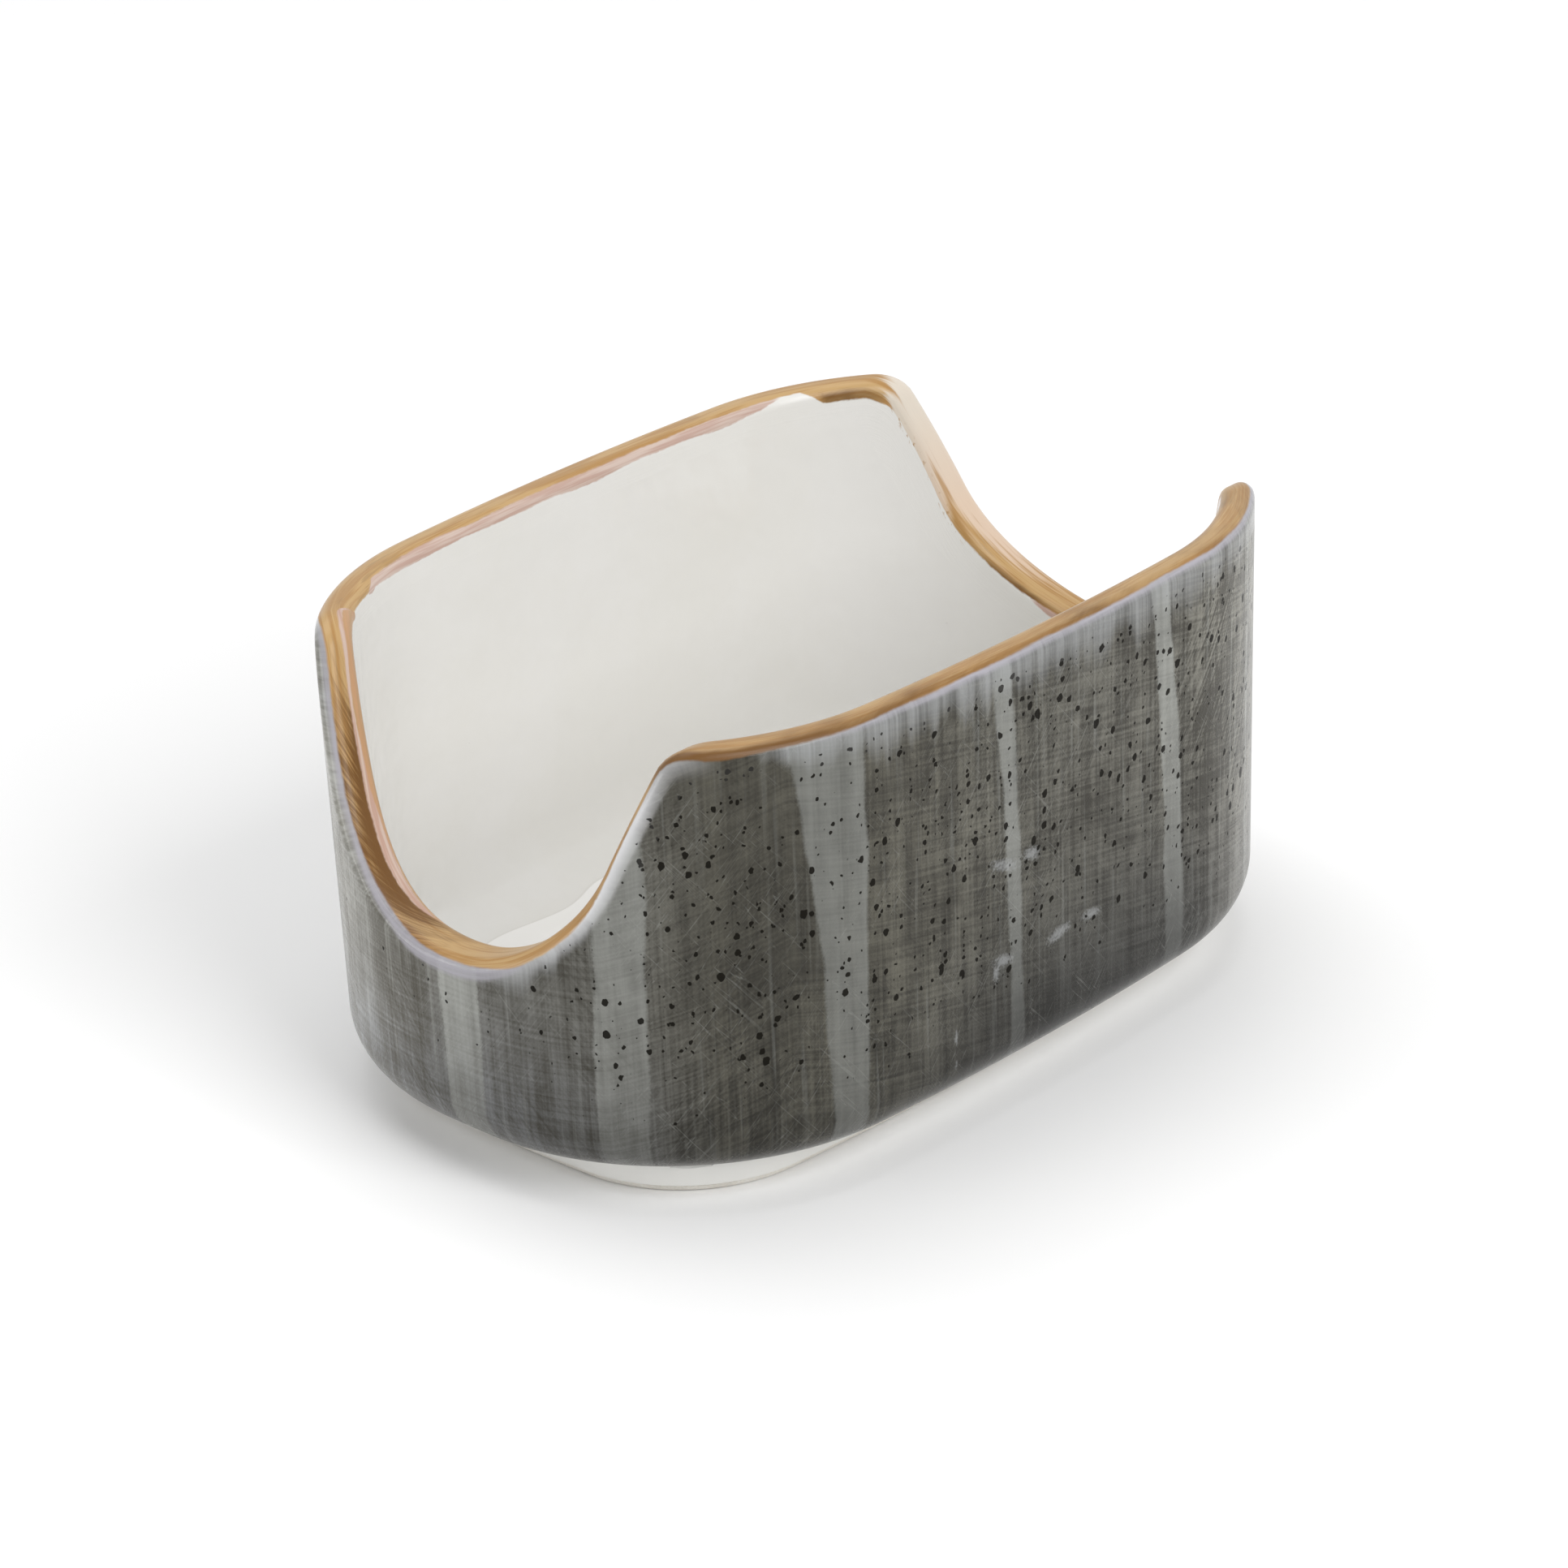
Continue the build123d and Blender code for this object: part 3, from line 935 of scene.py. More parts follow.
class Paint:
    """One material, with short ways to lay its nodes."""

    noise_roughness = 0.55

    def __init__(self, name: str) -> None:
        """Start a material with one principled shader.

        Args:
            name: The material's name.
        """
        self.material = bpy.data.materials.new(name)
        self.material.use_nodes = True
        self.nodes = self.material.node_tree.nodes
        self.links = self.material.node_tree.links
        self.shader = self.nodes["Principled BSDF"]
        self.woven: dict[str, Socket] = {}

    def node(self, kind: str, inputs: dict[str | int, Value], **settings: str) -> bpy.types.Node:
        """Add a node, set its options, and link or set its inputs.

        Args:
            kind: The node's type.
            inputs: Sockets, numbers or colours by input name or number.
            settings: The node's own options.

        Returns:
            The node.
        """
        node = self.nodes.new(kind)
        for name, value in settings.items():
            setattr(node, name, value)
        for key, value in inputs.items():
            self.feed(node.inputs[key], value)
        return node

    def feed(self, socket: Socket, value: Value) -> None:
        """Link a socket to another, or set its number or colour.

        Args:
            socket: The socket to feed.
            value: What it takes.
        """
        if isinstance(value, bpy.types.NodeSocket):
            self.links.new(value, socket)
        elif isinstance(value, tuple) and socket.type == "RGBA":
            socket.default_value = (*value, 1.0)
        else:
            socket.default_value = value

    def math(self, operation: str, *terms: Value) -> Socket:
        """Do one sum with numbers and sockets."""
        return self.node("ShaderNodeMath", dict(enumerate(terms)), operation=operation).outputs[0]

    def add(self, *terms: Value) -> Socket:
        """Add numbers and sockets."""
        return reduce(partial(self.math, "ADD"), terms)

    def times(self, *terms: Value) -> Socket:
        """Multiply numbers and sockets."""
        return reduce(partial(self.math, "MULTIPLY"), terms)

    def vector(self, operation: str, inputs: dict[int, Value]) -> Socket:
        """Do one sum with vectors or colours."""
        return self.node("ShaderNodeVectorMath", inputs, operation=operation).outputs[0]

    def field(self, name: str) -> Socket:
        """Read a number kept on the mesh's points."""
        return self.node("ShaderNodeAttribute", {}, attribute_name=name).outputs["Fac"]

    def ring(self, name: str) -> Socket:
        """Read a vector kept on the mesh's points."""
        return self.node("ShaderNodeAttribute", {}, attribute_name=name).outputs["Vector"]

    def place(self) -> Socket:
        """Object coordinates in millimetres."""
        here = self.node("ShaderNodeTexCoord", {}).outputs["Object"]
        return self.vector("MULTIPLY", {0: here, 1: (1 / MM, 1 / MM, 1 / MM)})

    def noise(self, vector: Socket, along: float, up: float, detail: float = 2.0) -> Socket:
        """Lay noise about 0.5 over a vector whose first two parts and third part are stretched."""
        place = self.vector("MULTIPLY", {0: vector, 1: (along, along, up)})
        return self.blur(place, 1.0, detail, self.noise_roughness).outputs["Fac"]

    def blur(self, vector: Socket, scale: float, detail: float, roughness: float) -> bpy.types.Node:
        """Add a noise node."""
        inputs = {"Vector": vector, "Scale": scale, "Detail": detail, "Roughness": roughness}
        return self.node("ShaderNodeTexNoise", inputs)

    def even(self, vector: Socket, stretch: float, detail: float = 2.0) -> Socket:
        """Lay noise about 0.5 that is stretched alike every way."""
        return self.noise(vector, stretch, stretch, detail)

    def rise(self, value: Value, low: Value, high: Value, start: float = 0.0, end: float = 1.0) -> Socket:
        """Ease from start to end while a value goes from low to high."""
        inputs = {0: value, 1: low, 2: high, 3: start, 4: end}
        return self.node("ShaderNodeMapRange", inputs, interpolation_type="SMOOTHSTEP").outputs[0]

    def shift(self, noise: Socket, reach: float) -> Socket:
        """Turn noise about 0.5 into a number from about minus reach to plus reach."""
        return self.math("MULTIPLY_ADD", noise, 4 * reach, -2 * reach)

    def weave(self, name: str) -> Socket:
        """Give a named noise, which is laid when it is first asked for.

        Args:
            name: The noise's name among the weaves.

        Returns:
            The noise.
        """
        if name not in self.woven:
            ring, along, up, detail = astuple(WEAVES[name])
            self.woven[name] = self.noise(self.ring(ring), along, up, detail)
        return self.woven[name]

    def stir(self, **reaches: float) -> Socket:
        """Add up named noises, each shifted by its own reach."""
        return self.add(*(self.shift(self.weave(name), reach) for name, reach in reaches.items()))

    def over(self, share: Value, under: Value, top: Value) -> Socket:
        """Lay one colour over another by a share."""
        return self.node("ShaderNodeMix", {0: share, 6: under, 7: top}, data_type="RGBA").outputs[2]

    def line(self, noise: Socket, width: float) -> Socket:
        """Thin lines where noise crosses its middle, 1 on the line and 0 beside it."""
        gap = self.math("ABSOLUTE", self.math("SUBTRACT", noise, 0.5))
        return self.rise(gap, 0.0, width, 1.0, 0.0)

    def spots(self, vector: Socket, cell: float, share: Value, reach: float) -> Socket:
        """Round spots in some of the cells of a scattered pattern.

        Args:
            vector: Coordinates in millimetres.
            cell: About how far apart the cells' middles are.
            share: The share of cells that hold a spot. A cell's own number above that leaves it empty.
            reach: The largest spot's radius at a share of 1, in millimetres.

        Returns:
            1 on the spots and 0 elsewhere.
        """
        inputs = {"Vector": vector, "Scale": 1.0 / cell, "Randomness": 1.0}
        cells = self.node("ShaderNodeTexVoronoi", inputs)
        own = self.node("ShaderNodeSeparateColor", {0: cells.outputs["Color"]}).outputs[0]
        room = self.math("SUBTRACT", self.add(own, share), 1.0)
        radius = self.math("MAXIMUM", self.times(room, reach / cell), 0.0)
        return self.rise(self.math("SUBTRACT", radius, cells.outputs["Distance"]), 0.0, 0.05 / cell)

    def bump(self, height: Socket, depth: float) -> None:
        """Raise the surface by a height field of that depth in metres."""
        bump = self.node("ShaderNodeBump", {"Height": height, "Distance": depth, "Strength": 1.0})
        self.feed(self.shader.inputs["Normal"], bump.outputs["Normal"])

    def finish(self, colour: Value, roughness: Value, specular: Value) -> bpy.types.Material:
        """Feed the shader and hand the material over.

        Args:
            colour: The base colour.
            roughness: How dull the shine is.
            specular: How strong it is.

        Returns:
            The material.
        """
        self.feed(self.shader.inputs["Base Color"], colour)
        self.feed(self.shader.inputs["Roughness"], roughness)
        self.feed(self.shader.inputs["Specular IOR Level"], specular)
        return self.material


@dataclass(frozen=True)
class WhiteGlaze:
    """Glossy off-white glaze, a little warmer and darker in slow clouds, with a few faint pinholes."""

    clear: Colour = (0.748, 0.740, 0.718)
    warm: Colour = (0.728, 0.718, 0.686)
    pinhole: Colour = (0.35, 0.31, 0.25)
    roughness: float = 0.13
    roughness_play: float = 0.06
    specular: float = 0.4
    ripple_depth: float = 0.25 * MM

    def colour(self, paint: Paint, place: Socket) -> Socket:
        """Lay the glaze's colour.

        Args:
            paint: The material to lay the nodes in.
            place: Coordinates in millimetres.

        Returns:
            The colour.
        """
        cloud = paint.even(place, 0.035, 3.0)
        mottle = paint.even(place, 0.6)
        share = paint.rise(paint.add(cloud, paint.shift(mottle, 0.04)), 0.34, 0.68)
        return paint.over(share, self.clear, self.warm)

    def material(self, name: str) -> bpy.types.Material:
        """Make the finish.

        Args:
            name: The material's name.

        Returns:
            The material.
        """
        paint = Paint(name)
        place = paint.place()
        pinholes = paint.spots(place, 3.4, 0.3, 0.6)
        colour = paint.over(paint.times(pinholes, 0.04), self.colour(paint, place), self.pinhole)
        paint.bump(paint.add(paint.even(place, 0.16), paint.times(pinholes, -0.06)), self.ripple_depth)
        dull = self.roughness + self.roughness_play
        sheen = paint.rise(paint.even(place, 0.3), 0.3, 0.7, self.roughness, dull)
        return paint.finish(colour, sheen, self.specular)


@dataclass(frozen=True)
class PoolAndReflectionGlaze(WhiteGlaze):
    """White glaze that is thicker and paler in a patch on the floor, behind a crisp edge: partly glaze
    gathered thick there, partly a painted reflection.
    """

    # Paler white of the patch on the floor: partly thick glaze, partly a painted reflection.
    pool_and_reflection_colour: Colour = (0.85, 0.843, 0.825)
    hollow: Colour = (0.60, 0.58, 0.54)

    def colour(self, paint: Paint, place: Socket) -> Socket:
        """Lay the glaze's colour with the paler patch, partly painted reflection, and its thin darker edge.

        Args:
            paint: The material to lay the nodes in.
            place: Coordinates in millimetres.

        Returns:
            The colour.
        """
        # The paler patch on the floor is partly a painted reflection.
        depth = paint.field("pool_and_reflection")
        colour = paint.over(paint.rise(depth, -0.08, 0.08), super().colour(paint, place), self.pool_and_reflection_colour)
        edge = paint.times(paint.rise(depth, -0.30, -0.05), paint.rise(depth, -0.05, 0.12, 1.0, 0.0))
        return paint.over(paint.times(edge, 0.3), colour, self.hollow)


@dataclass(frozen=True)
class GreyGlaze:
    """Dark grey glaze brushed over the outside: threads, leaning scratches, pale stripes, iron specks."""

    deep: Colour = (0.026, 0.023, 0.015)
    warm: Colour = (0.145, 0.136, 0.102)
    cool: Colour = (0.142, 0.146, 0.150)
    pale: Colour = (0.285, 0.292, 0.272)
    milk: Colour = (0.34, 0.35, 0.355)
    # Colour of the painted highlight, a lamp's reflection laid on the near dip's shoulders.
    highlight_white: Colour = (0.90, 0.90, 0.92)
    speck: Colour = (0.008, 0.007, 0.005)
    # For each size of speck: the cells' spacing, the share that hold one, the largest radius.
    speck_sizes: tuple[tuple[float, float, float], ...] = (
        (3.0, 0.60, 0.76),
        (1.4, 0.82, 0.44),
        (0.8, 0.58, 0.36),
    )
    speck_bend: float = 0.45
    roughness: float = 0.2
    roughness_play: float = 0.1
    specular: float = 0.28
    speck_specular: float = 0.04
    band_end: float = 1.9
    relief_depth: float = 0.03 * MM

    def ground(self, paint: Paint) -> Socket:
        """Lay the brushed grey with its pale stripes and rays, scaled by each place's brightness, which
        carries painted light and shade besides the glaze's own colour.

        Args:
            paint: The material to lay the nodes in.

        Returns:
            The colour.
        """
        hatch = paint.field("hatch")
        strokes = paint.times(paint.stir(strokes=0.32), paint.field("rising_share"))
        wipes = paint.times(paint.stir(wipes=0.15), paint.field("falling_share"))
        threads = paint.add(
            paint.stir(upright=0.20, level=0.22, grain=0.10),
            paint.times(strokes, paint.rise(paint.weave("patch"), 0.42, 0.60)),
            paint.times(wipes, paint.rise(paint.weave("patch"), 0.38, 0.54, 1.0, 0.0)),
        )
        marks = paint.times(paint.add(paint.stir(blotch=0.22, runs=0.22), threads), hatch)
        share = paint.add(0.43, paint.stir(cloud=0.20), marks)
        body = paint.over(paint.field("cool"), self.warm, self.cool)
        colour = paint.over(paint.rise(share, 0.0, 1.0), self.deep, body)
        edge = paint.add(paint.field("stripe"), paint.stir(blotch=0.16, grain=0.08))
        thin = paint.add(0.62, paint.stir(runs=0.16, blotch=0.08, level=0.04))
        stripe = paint.times(paint.rise(edge, -0.24, 0.30), paint.field("stripe_strength"), thin)
        colour = paint.over(stripe, colour, self.pale)
        rays = paint.rise(paint.weave("rays"), 0.57, 0.74)
        colour = paint.over(paint.times(rays, hatch, 0.30), colour, self.pale)
        # Scaled by the brightness field, which carries painted light and shade.
        return paint.vector("SCALE", {0: colour, 3: paint.field("tone_and_painted_light")})

    def rim_edge(self, paint: Paint, colour: Socket) -> Socket:
        """Lay the milky runs below the rim band and the painted highlight on the near dip's shoulders.

        Args:
            paint: The material to lay the nodes in.
            colour: The colour so far.

        Returns:
            The colour.
        """
        under, fade = paint.field("under"), paint.field("fade")
        length = paint.times(fade, paint.add(1.0, paint.stir(runs=0.45)))
        below = paint.math("SUBTRACT", under, self.band_end)
        milky = paint.times(
            paint.rise(below, 0.0, paint.add(length, 0.05), 1.0, 0.0),
            paint.add(0.50, paint.stir(runs=0.22, upright=0.12)),
            paint.rise(fade, 0.4, 2.4),
        )
        colour = paint.over(milky, colour, self.milk)
        band = paint.times(paint.rise(under, 0.0, 0.7), paint.rise(under, 0.9, 4.2, 1.0, 0.0))
        # Painted highlight: near-white laid on the shoulders' edges for a lamp's reflection.
        return paint.over(paint.times(band, paint.field("painted_highlight")), colour, self.highlight_white)

    def specks(self, paint: Paint) -> Socket:
        """Scatter the iron specks, a little bent out of round.

        Args:
            paint: The material to lay the nodes in.

        Returns:
            1 on the specks and 0 elsewhere.
        """
        place, density = paint.ring("speck_place"), paint.field("speckle")
        bent = paint.blur(place, 1.8, 1.0, 0.5).outputs["Color"]
        bend = paint.vector("SCALE", {0: bent, 3: self.speck_bend})
        place = paint.vector("ADD", {0: place, 1: bend})
        sizes = [
            paint.spots(place, cell, paint.times(density, share), reach)
            for cell, share, reach in self.speck_sizes
        ]
        return paint.rise(paint.add(*sizes), 0.0, 1.0)

    def layers(self, paint: Paint) -> tuple[Socket, Socket, Socket]:
        """Lay the glaze's colour, relief and specks.

        Args:
            paint: The material to lay the nodes in.

        Returns:
            The colour, the relief from about 0 to 1, and 1 on the specks.
        """
        colour = self.ground(paint)
        scratch = paint.add(
            paint.line(paint.weave("rising_lines"), 0.012), paint.line(paint.weave("falling_lines"), 0.010)
        )
        scratched = paint.times(scratch, paint.rise(paint.weave("patch"), 0.42, 0.60), 0.18)
        colour = paint.over(scratched, colour, self.pale)
        smudge = paint.add(paint.field("smudge"), paint.stir(grain=0.25))
        colour = paint.over(paint.times(paint.rise(smudge, -0.05, 0.75), 0.48), colour, self.milk)
        colour = self.rim_edge(paint, colour)
        specks = self.specks(paint)
        relief = paint.add(
            paint.times(paint.weave("upright"), 0.3),
            paint.times(paint.weave("level"), 0.3),
            paint.times(scratch, 0.2),
            paint.times(specks, -0.35),
        )
        return paint.over(paint.times(specks, 0.96), colour, self.speck), relief, specks

    def material(self, name: str) -> bpy.types.Material:
        """Make the finish.

        Args:
            name: The material's name.

        Returns:
            The material.
        """
        paint = Paint(name)
        colour, relief, specks = self.layers(paint)
        paint.bump(relief, self.relief_depth)
        sheen = paint.rise(relief, 0.1, 0.6, self.roughness, self.roughness + self.roughness_play)
        return paint.finish(colour, sheen, paint.rise(specks, 0.0, 1.0, self.specular, self.speck_specular))


@dataclass(frozen=True)
class RimPaint:
    """Brushed ochre along the rim, between the grey outside and the white inside."""

    grey: GreyGlaze = GreyGlaze()
    white: WhiteGlaze = WhiteGlaze()
    ochre: Colour = (0.40, 0.225, 0.080)
    straw: Colour = (0.50, 0.325, 0.145)
    umber: Colour = (0.125, 0.052, 0.009)
    orange: Colour = (0.47, 0.24, 0.095)
    cream: Colour = (0.68, 0.625, 0.55)
    peach: Colour = (0.68, 0.52, 0.40)
    # Rose and blush colour the pinkish strip, which is partly paint and partly a painted reflection on the
    # inner rounding.
    rose: Colour = (0.48, 0.315, 0.255)
    blush: Colour = (0.58, 0.45, 0.385)
    # Lavender colour, partly thin glaze and partly a painted highlight on the outer rounding.
    lilac_and_highlight: Colour = (0.385, 0.37, 0.41)
    roughness: float = 0.28
    bare_roughness: float = 0.17
    specular: float = 0.25
    relief_depth: float = 0.03 * MM

    def brushed(self, paint: Paint) -> Socket:
        """Lay the brushed ochre with its streaks, dark strokes and worn places.

        Args:
            paint: The material to lay the nodes in.

        Returns:
            The colour.
        """
        pale = paint.rise(paint.add(paint.weave("wide"), paint.stir(fine=0.20)), 0.36, 0.64)
        colour = paint.over(pale, self.ochre, self.straw)
        strokes = paint.rise(paint.add(paint.weave("fine"), paint.stir(blot=0.20)), 0.58, 0.76)
        colour = paint.over(paint.times(strokes, 0.30), colour, self.umber)
        etched = paint.times(paint.stir(hatch=0.40), paint.field("hatching"))
        stain = paint.add(paint.field("deep"), etched, paint.stir(blot=0.16))
        colour = paint.over(paint.times(paint.rise(stain, 0.25, 1.1), 0.92), colour, self.umber)
        wear = paint.add(paint.field("worn"), paint.stir(wide=0.30, fine=0.20))
        bare = paint.over(paint.field("peach"), self.cream, self.peach)
        return paint.over(paint.times(paint.rise(wear, 0.35, 0.85), 0.9), colour, bare)

    def material(self, name: str) -> bpy.types.Material:
        """Make the finish from the outside in: grey, a lavender strip that is partly thin glaze and partly
        a painted highlight, ochre, a pinkish strip that is partly paint and partly a painted reflection,
        and white.

        Args:
            name: The material's name.

        Returns:
            The material.
        """
        paint = Paint(name)
        grey, relief, _ = self.grey.layers(paint)
        ochre = self.brushed(paint)
        white = self.white.colour(paint, paint.place())
        streak = paint.weave("streak")
        out = paint.add(paint.field("paint_out"), paint.stir(torn=0.10, nib=0.03))
        inn = paint.add(paint.field("paint_in"), paint.stir(torn=0.10, nib=0.05))
        on_out = paint.rise(out, -0.20, 0.16)
        on_in = paint.rise(inn, -0.14, 0.14)
        haze_and_highlight, pink_and_reflection, seam = paint.field("haze_and_highlight"), paint.field("pink_and_reflection"), paint.field("seam")
        haze_and_highlight_end = paint.times(haze_and_highlight, -1.0)
        pink_and_reflection_end = paint.times(pink_and_reflection, -1.0)
        seam_end = paint.add(pink_and_reflection_end, paint.times(seam, -1.0))

        def strip(depth: Socket, end: Socket, before: float, after: float) -> Socket:
            """1 on a strip of paint and 0 past its end, which lies at a depth of paint."""
            return paint.rise(depth, paint.add(end, before), paint.add(end, after))

        # Lavender strip on the outer rounding: partly thin glaze, partly painted highlight.
        lilac_and_highlight = paint.times(strip(out, haze_and_highlight_end, -0.45, 0.35), paint.rise(haze_and_highlight, 0.1, 0.5))
        # Pinkish strip on the inner rounding: partly paint, partly painted reflection.
        rosy_and_reflection = paint.times(strip(inn, pink_and_reflection_end, -0.12, 0.10), paint.rise(pink_and_reflection, 0.1, 0.4))
        rusty = paint.times(strip(inn, seam_end, -0.1, 0.15), paint.rise(seam, 0.2, 0.6))
        lilac_and_highlight = paint.times(lilac_and_highlight, paint.rise(streak, 0.3, 0.7, 0.95, 0.6))
        outside = paint.over(on_out, paint.over(lilac_and_highlight, grey, self.lilac_and_highlight), ochre)
        rust = paint.over(paint.rise(streak, 0.35, 0.65), self.orange, self.ochre)
        flesh_and_reflection = paint.over(paint.rise(streak, 0.40, 0.64), self.rose, self.blush)
        inside = paint.over(paint.times(rusty, 0.9), white, rust)
        inside = paint.over(paint.times(rosy_and_reflection, 0.92), inside, flesh_and_reflection)
        inside = paint.over(on_in, inside, ochre)
        fringe = paint.times(paint.rise(inn, -1.2, -0.2), paint.rise(inn, 0.2, 0.9, 1.0, 0.0))
        grit = paint.rise(paint.weave("crumbs"), 0.58, 0.66)
        crumbs = paint.times(grit, fringe, paint.field("fleck"), 0.8)
        inside = paint.over(crumbs, inside, self.ochre)
        colour = paint.over(paint.rise(paint.field("under"), -0.05, 0.05), inside, outside)
        ridges = paint.add(paint.times(paint.weave("fine"), 0.6), paint.times(relief, 0.3))
        paint.bump(ridges, self.relief_depth)
        sheen = paint.rise(paint.times(on_out, on_in), 0.0, 1.0, self.bare_roughness, self.roughness)
        return paint.finish(colour, sheen, self.specular)


@dataclass(frozen=True)
class BareClay:
    """Fired clay without glaze: pale, dry and finely gritty."""

    light: Colour = (0.76, 0.74, 0.69)
    dark: Colour = (0.68, 0.65, 0.59)
    specular: float = 0.25
    grit_depth: float = 0.08 * MM

    def material(self, name: str) -> bpy.types.Material:
        """Make the finish.

        Args:
            name: The material's name.

        Returns:
            The material.
        """
        paint = Paint(name)
        place = paint.place()
        grit = paint.even(place, 4.0, 4.0)
        cloud = paint.shift(paint.even(place, 0.15), 0.2)
        colour = paint.over(paint.rise(paint.add(grit, cloud), 0.3, 0.7), self.dark, self.light)
        paint.bump(grit, self.grit_depth)
        return paint.finish(colour, paint.rise(grit, 0.2, 0.8, 0.75, 0.92), self.specular)


Look = WhiteGlaze | GreyGlaze | RimPaint


@dataclass
class Coat:
    """One glaze coat: rows of its face, and the shell that they close with the skin on the clay."""

    form: HolderForm
    name: str = ""
    node: str = ""
    part: str = ""
    slot: Slot = Slot.WHITE
    pole: Pole = Pole.NONE
    look: Look = WhiteGlaze()
    skin_step: int = 3

    def rows(self) -> Grid:
        """The rows of points on the coat's face."""
        return self.form.parts[self.part]

    def layout(self) -> GlazeMap:
        """Where the glazes lie on the coat."""
        return GlazeMap(self.form, self.rows(), self.form.parts[f"{self.part}_lip"])

    def fields(self) -> dict[str, Grid]:
        """The fields that the coat's finish reads from its points."""
        return {}

    def normals(self, rows: Grid) -> Grid:
        """Work out the normals of the face, from the crossed steps along and across its rows.

        Args:
            rows: The rows of points.

        Returns:
            Unit normals.
        """
        along = np.roll(rows, -1, axis=1) - np.roll(rows, 1, axis=1)
        normal = np.cross(along, np.gradient(rows, axis=0))
        size = np.linalg.norm(normal, axis=-1, keepdims=True)
        upright = np.broadcast_to([0.0, 0.0, 1.0 if self.pole is Pole.LAST else -1.0], normal.shape)
        return np.where(size > TINY, normal / np.maximum(size, TINY), upright)

    def build(self) -> bpy.types.Object:
        """Make the closed shell.

        The face rows are followed by the same rows moved down by the coat's thickness, in the other
        order, and the last is joined to the first. A row that has shrunk to the middle is one point.

        Returns:
            The new object, linked to the scene.
        """
        face = self.rows()
        keep = np.unique(np.r_[0 : len(face) : self.skin_step, len(face) - 1])[::-1]
        skin = (face - self.normals(face) * self.form.glaze)[keep]
        rows = np.concatenate([face, skin])
        count = rows.shape[1]
        index = np.arange(rows.shape[0] * count).reshape(rows.shape[0], count)
        poles = {Pole.FIRST: [0, len(rows) - 1], Pole.LAST: [len(face) - 1, len(face)]}.get(self.pole, [])
        index[poles] = index[poles][:, :1]
        used, flat = np.unique(index, return_inverse=True)
        mesh = bpy.data.meshes.new(self.name)
        self.fill(mesh, rows.reshape(-1, 3)[used], *self.faces(flat.reshape(index.shape)))
        self.crease(mesh, used // count, {0, len(face) - 1, len(face), len(rows) - 1})
        for name, values in self.fields().items():
            both = np.concatenate([values, values[keep]])
            self.store(mesh, name, both.reshape((-1,) + both.shape[2:])[used])
        piece = bpy.data.objects.new(self.name, mesh)
        bpy.context.scene.collection.objects.link(piece)
        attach(piece, BODY)
        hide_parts(self.node)
        return piece

    def dress(self, piece: bpy.types.Object) -> None:
        """Give the piece its finish."""
        piece.data.materials.append(self.look.material(self.name))

    def faces(self, index: Grid) -> tuple[Grid, Grid]:
        """Join every row of an index grid to the next, and the last to the first.

        Args:
            index: Point numbers by row and station.

        Returns:
            Quads, and triangles where a row is a single point.
        """
        above = np.roll(index, -1, axis=0)
        corners = [index, np.roll(index, -1, axis=1), np.roll(above, -1, axis=1), above]
        quads = np.stack(corners, axis=-1).reshape(-1, 4)
        low = quads[:, 0] == quads[:, 1]
        high = quads[:, 2] == quads[:, 3]
        fans = np.concatenate([quads[low & ~high][:, [0, 2, 3]], quads[high & ~low][:, [0, 1, 2]]])
        return quads[~low & ~high], fans

    def fill(self, mesh: bpy.types.Mesh, points: Grid, quads: Grid, triangles: Grid) -> None:
        """Put points and faces into an empty mesh, shaded smooth.

        Args:
            mesh: The mesh.
            points: Its points.
            quads: Faces of four corners.
            triangles: Faces of three corners.
        """
        mesh.vertices.add(len(points))
        mesh.vertices.foreach_set("co", points.astype(np.float32).ravel())
        corners = np.concatenate([quads.ravel(), triangles.ravel()])
        sizes = np.concatenate([np.full(len(quads), 4), np.full(len(triangles), 3)])
        starts = np.concatenate([[0], np.cumsum(sizes)[:-1]])
        mesh.loops.add(len(corners))
        mesh.loops.foreach_set("vertex_index", corners.astype(np.int32))
        mesh.polygons.add(len(sizes))
        mesh.polygons.foreach_set("loop_start", starts.astype(np.int32))
        mesh.polygons.foreach_set("use_smooth", np.ones(len(sizes), dtype=bool))
        mesh.update(calc_edges=True)
        mesh.validate()

    def crease(self, mesh: bpy.types.Mesh, row_of: Grid, rows: set[int]) -> None:
        """Mark the edges along some rows as sharp.

        Args:
            mesh: The mesh.
            row_of: The row that each point lies in.
            rows: The rows whose edges are sharp.
        """
        ends = np.zeros(len(mesh.edges) * 2, dtype=np.int32)
        mesh.edges.foreach_get("vertices", ends)
        pairs = row_of[ends.reshape(-1, 2)]
        sharp = (pairs[:, 0] == pairs[:, 1]) & np.isin(pairs[:, 0], sorted(rows))
        mark = mesh.attributes.new("sharp_edge", "BOOLEAN", "EDGE")
        mark.data.foreach_set("value", sharp)

    def store(self, mesh: bpy.types.Mesh, name: str, values: Grid) -> None:
        """Keep a number or a vector for every point, for the finish to read."""
        kind, key = ("FLOAT_VECTOR", "vector") if values.ndim == 2 else ("FLOAT", "value")
        mesh.attributes.new(name, kind, "POINT").data.foreach_set(key, values.astype(np.float32).ravel())


@dataclass
class GreyCoat(Coat):
    """The grey glaze on the outer wall, from the rim band down round the heel."""

    name: str = "grey_coat"
    node: str = "outer_grey_coat"
    part: str = "outer"
    slot: Slot = Slot.GREY
    look: Look = GreyGlaze()

    def fields(self) -> dict[str, Grid]:
        """The fields that the coat's finish reads from its points."""
        return self.layout().grey_fields()


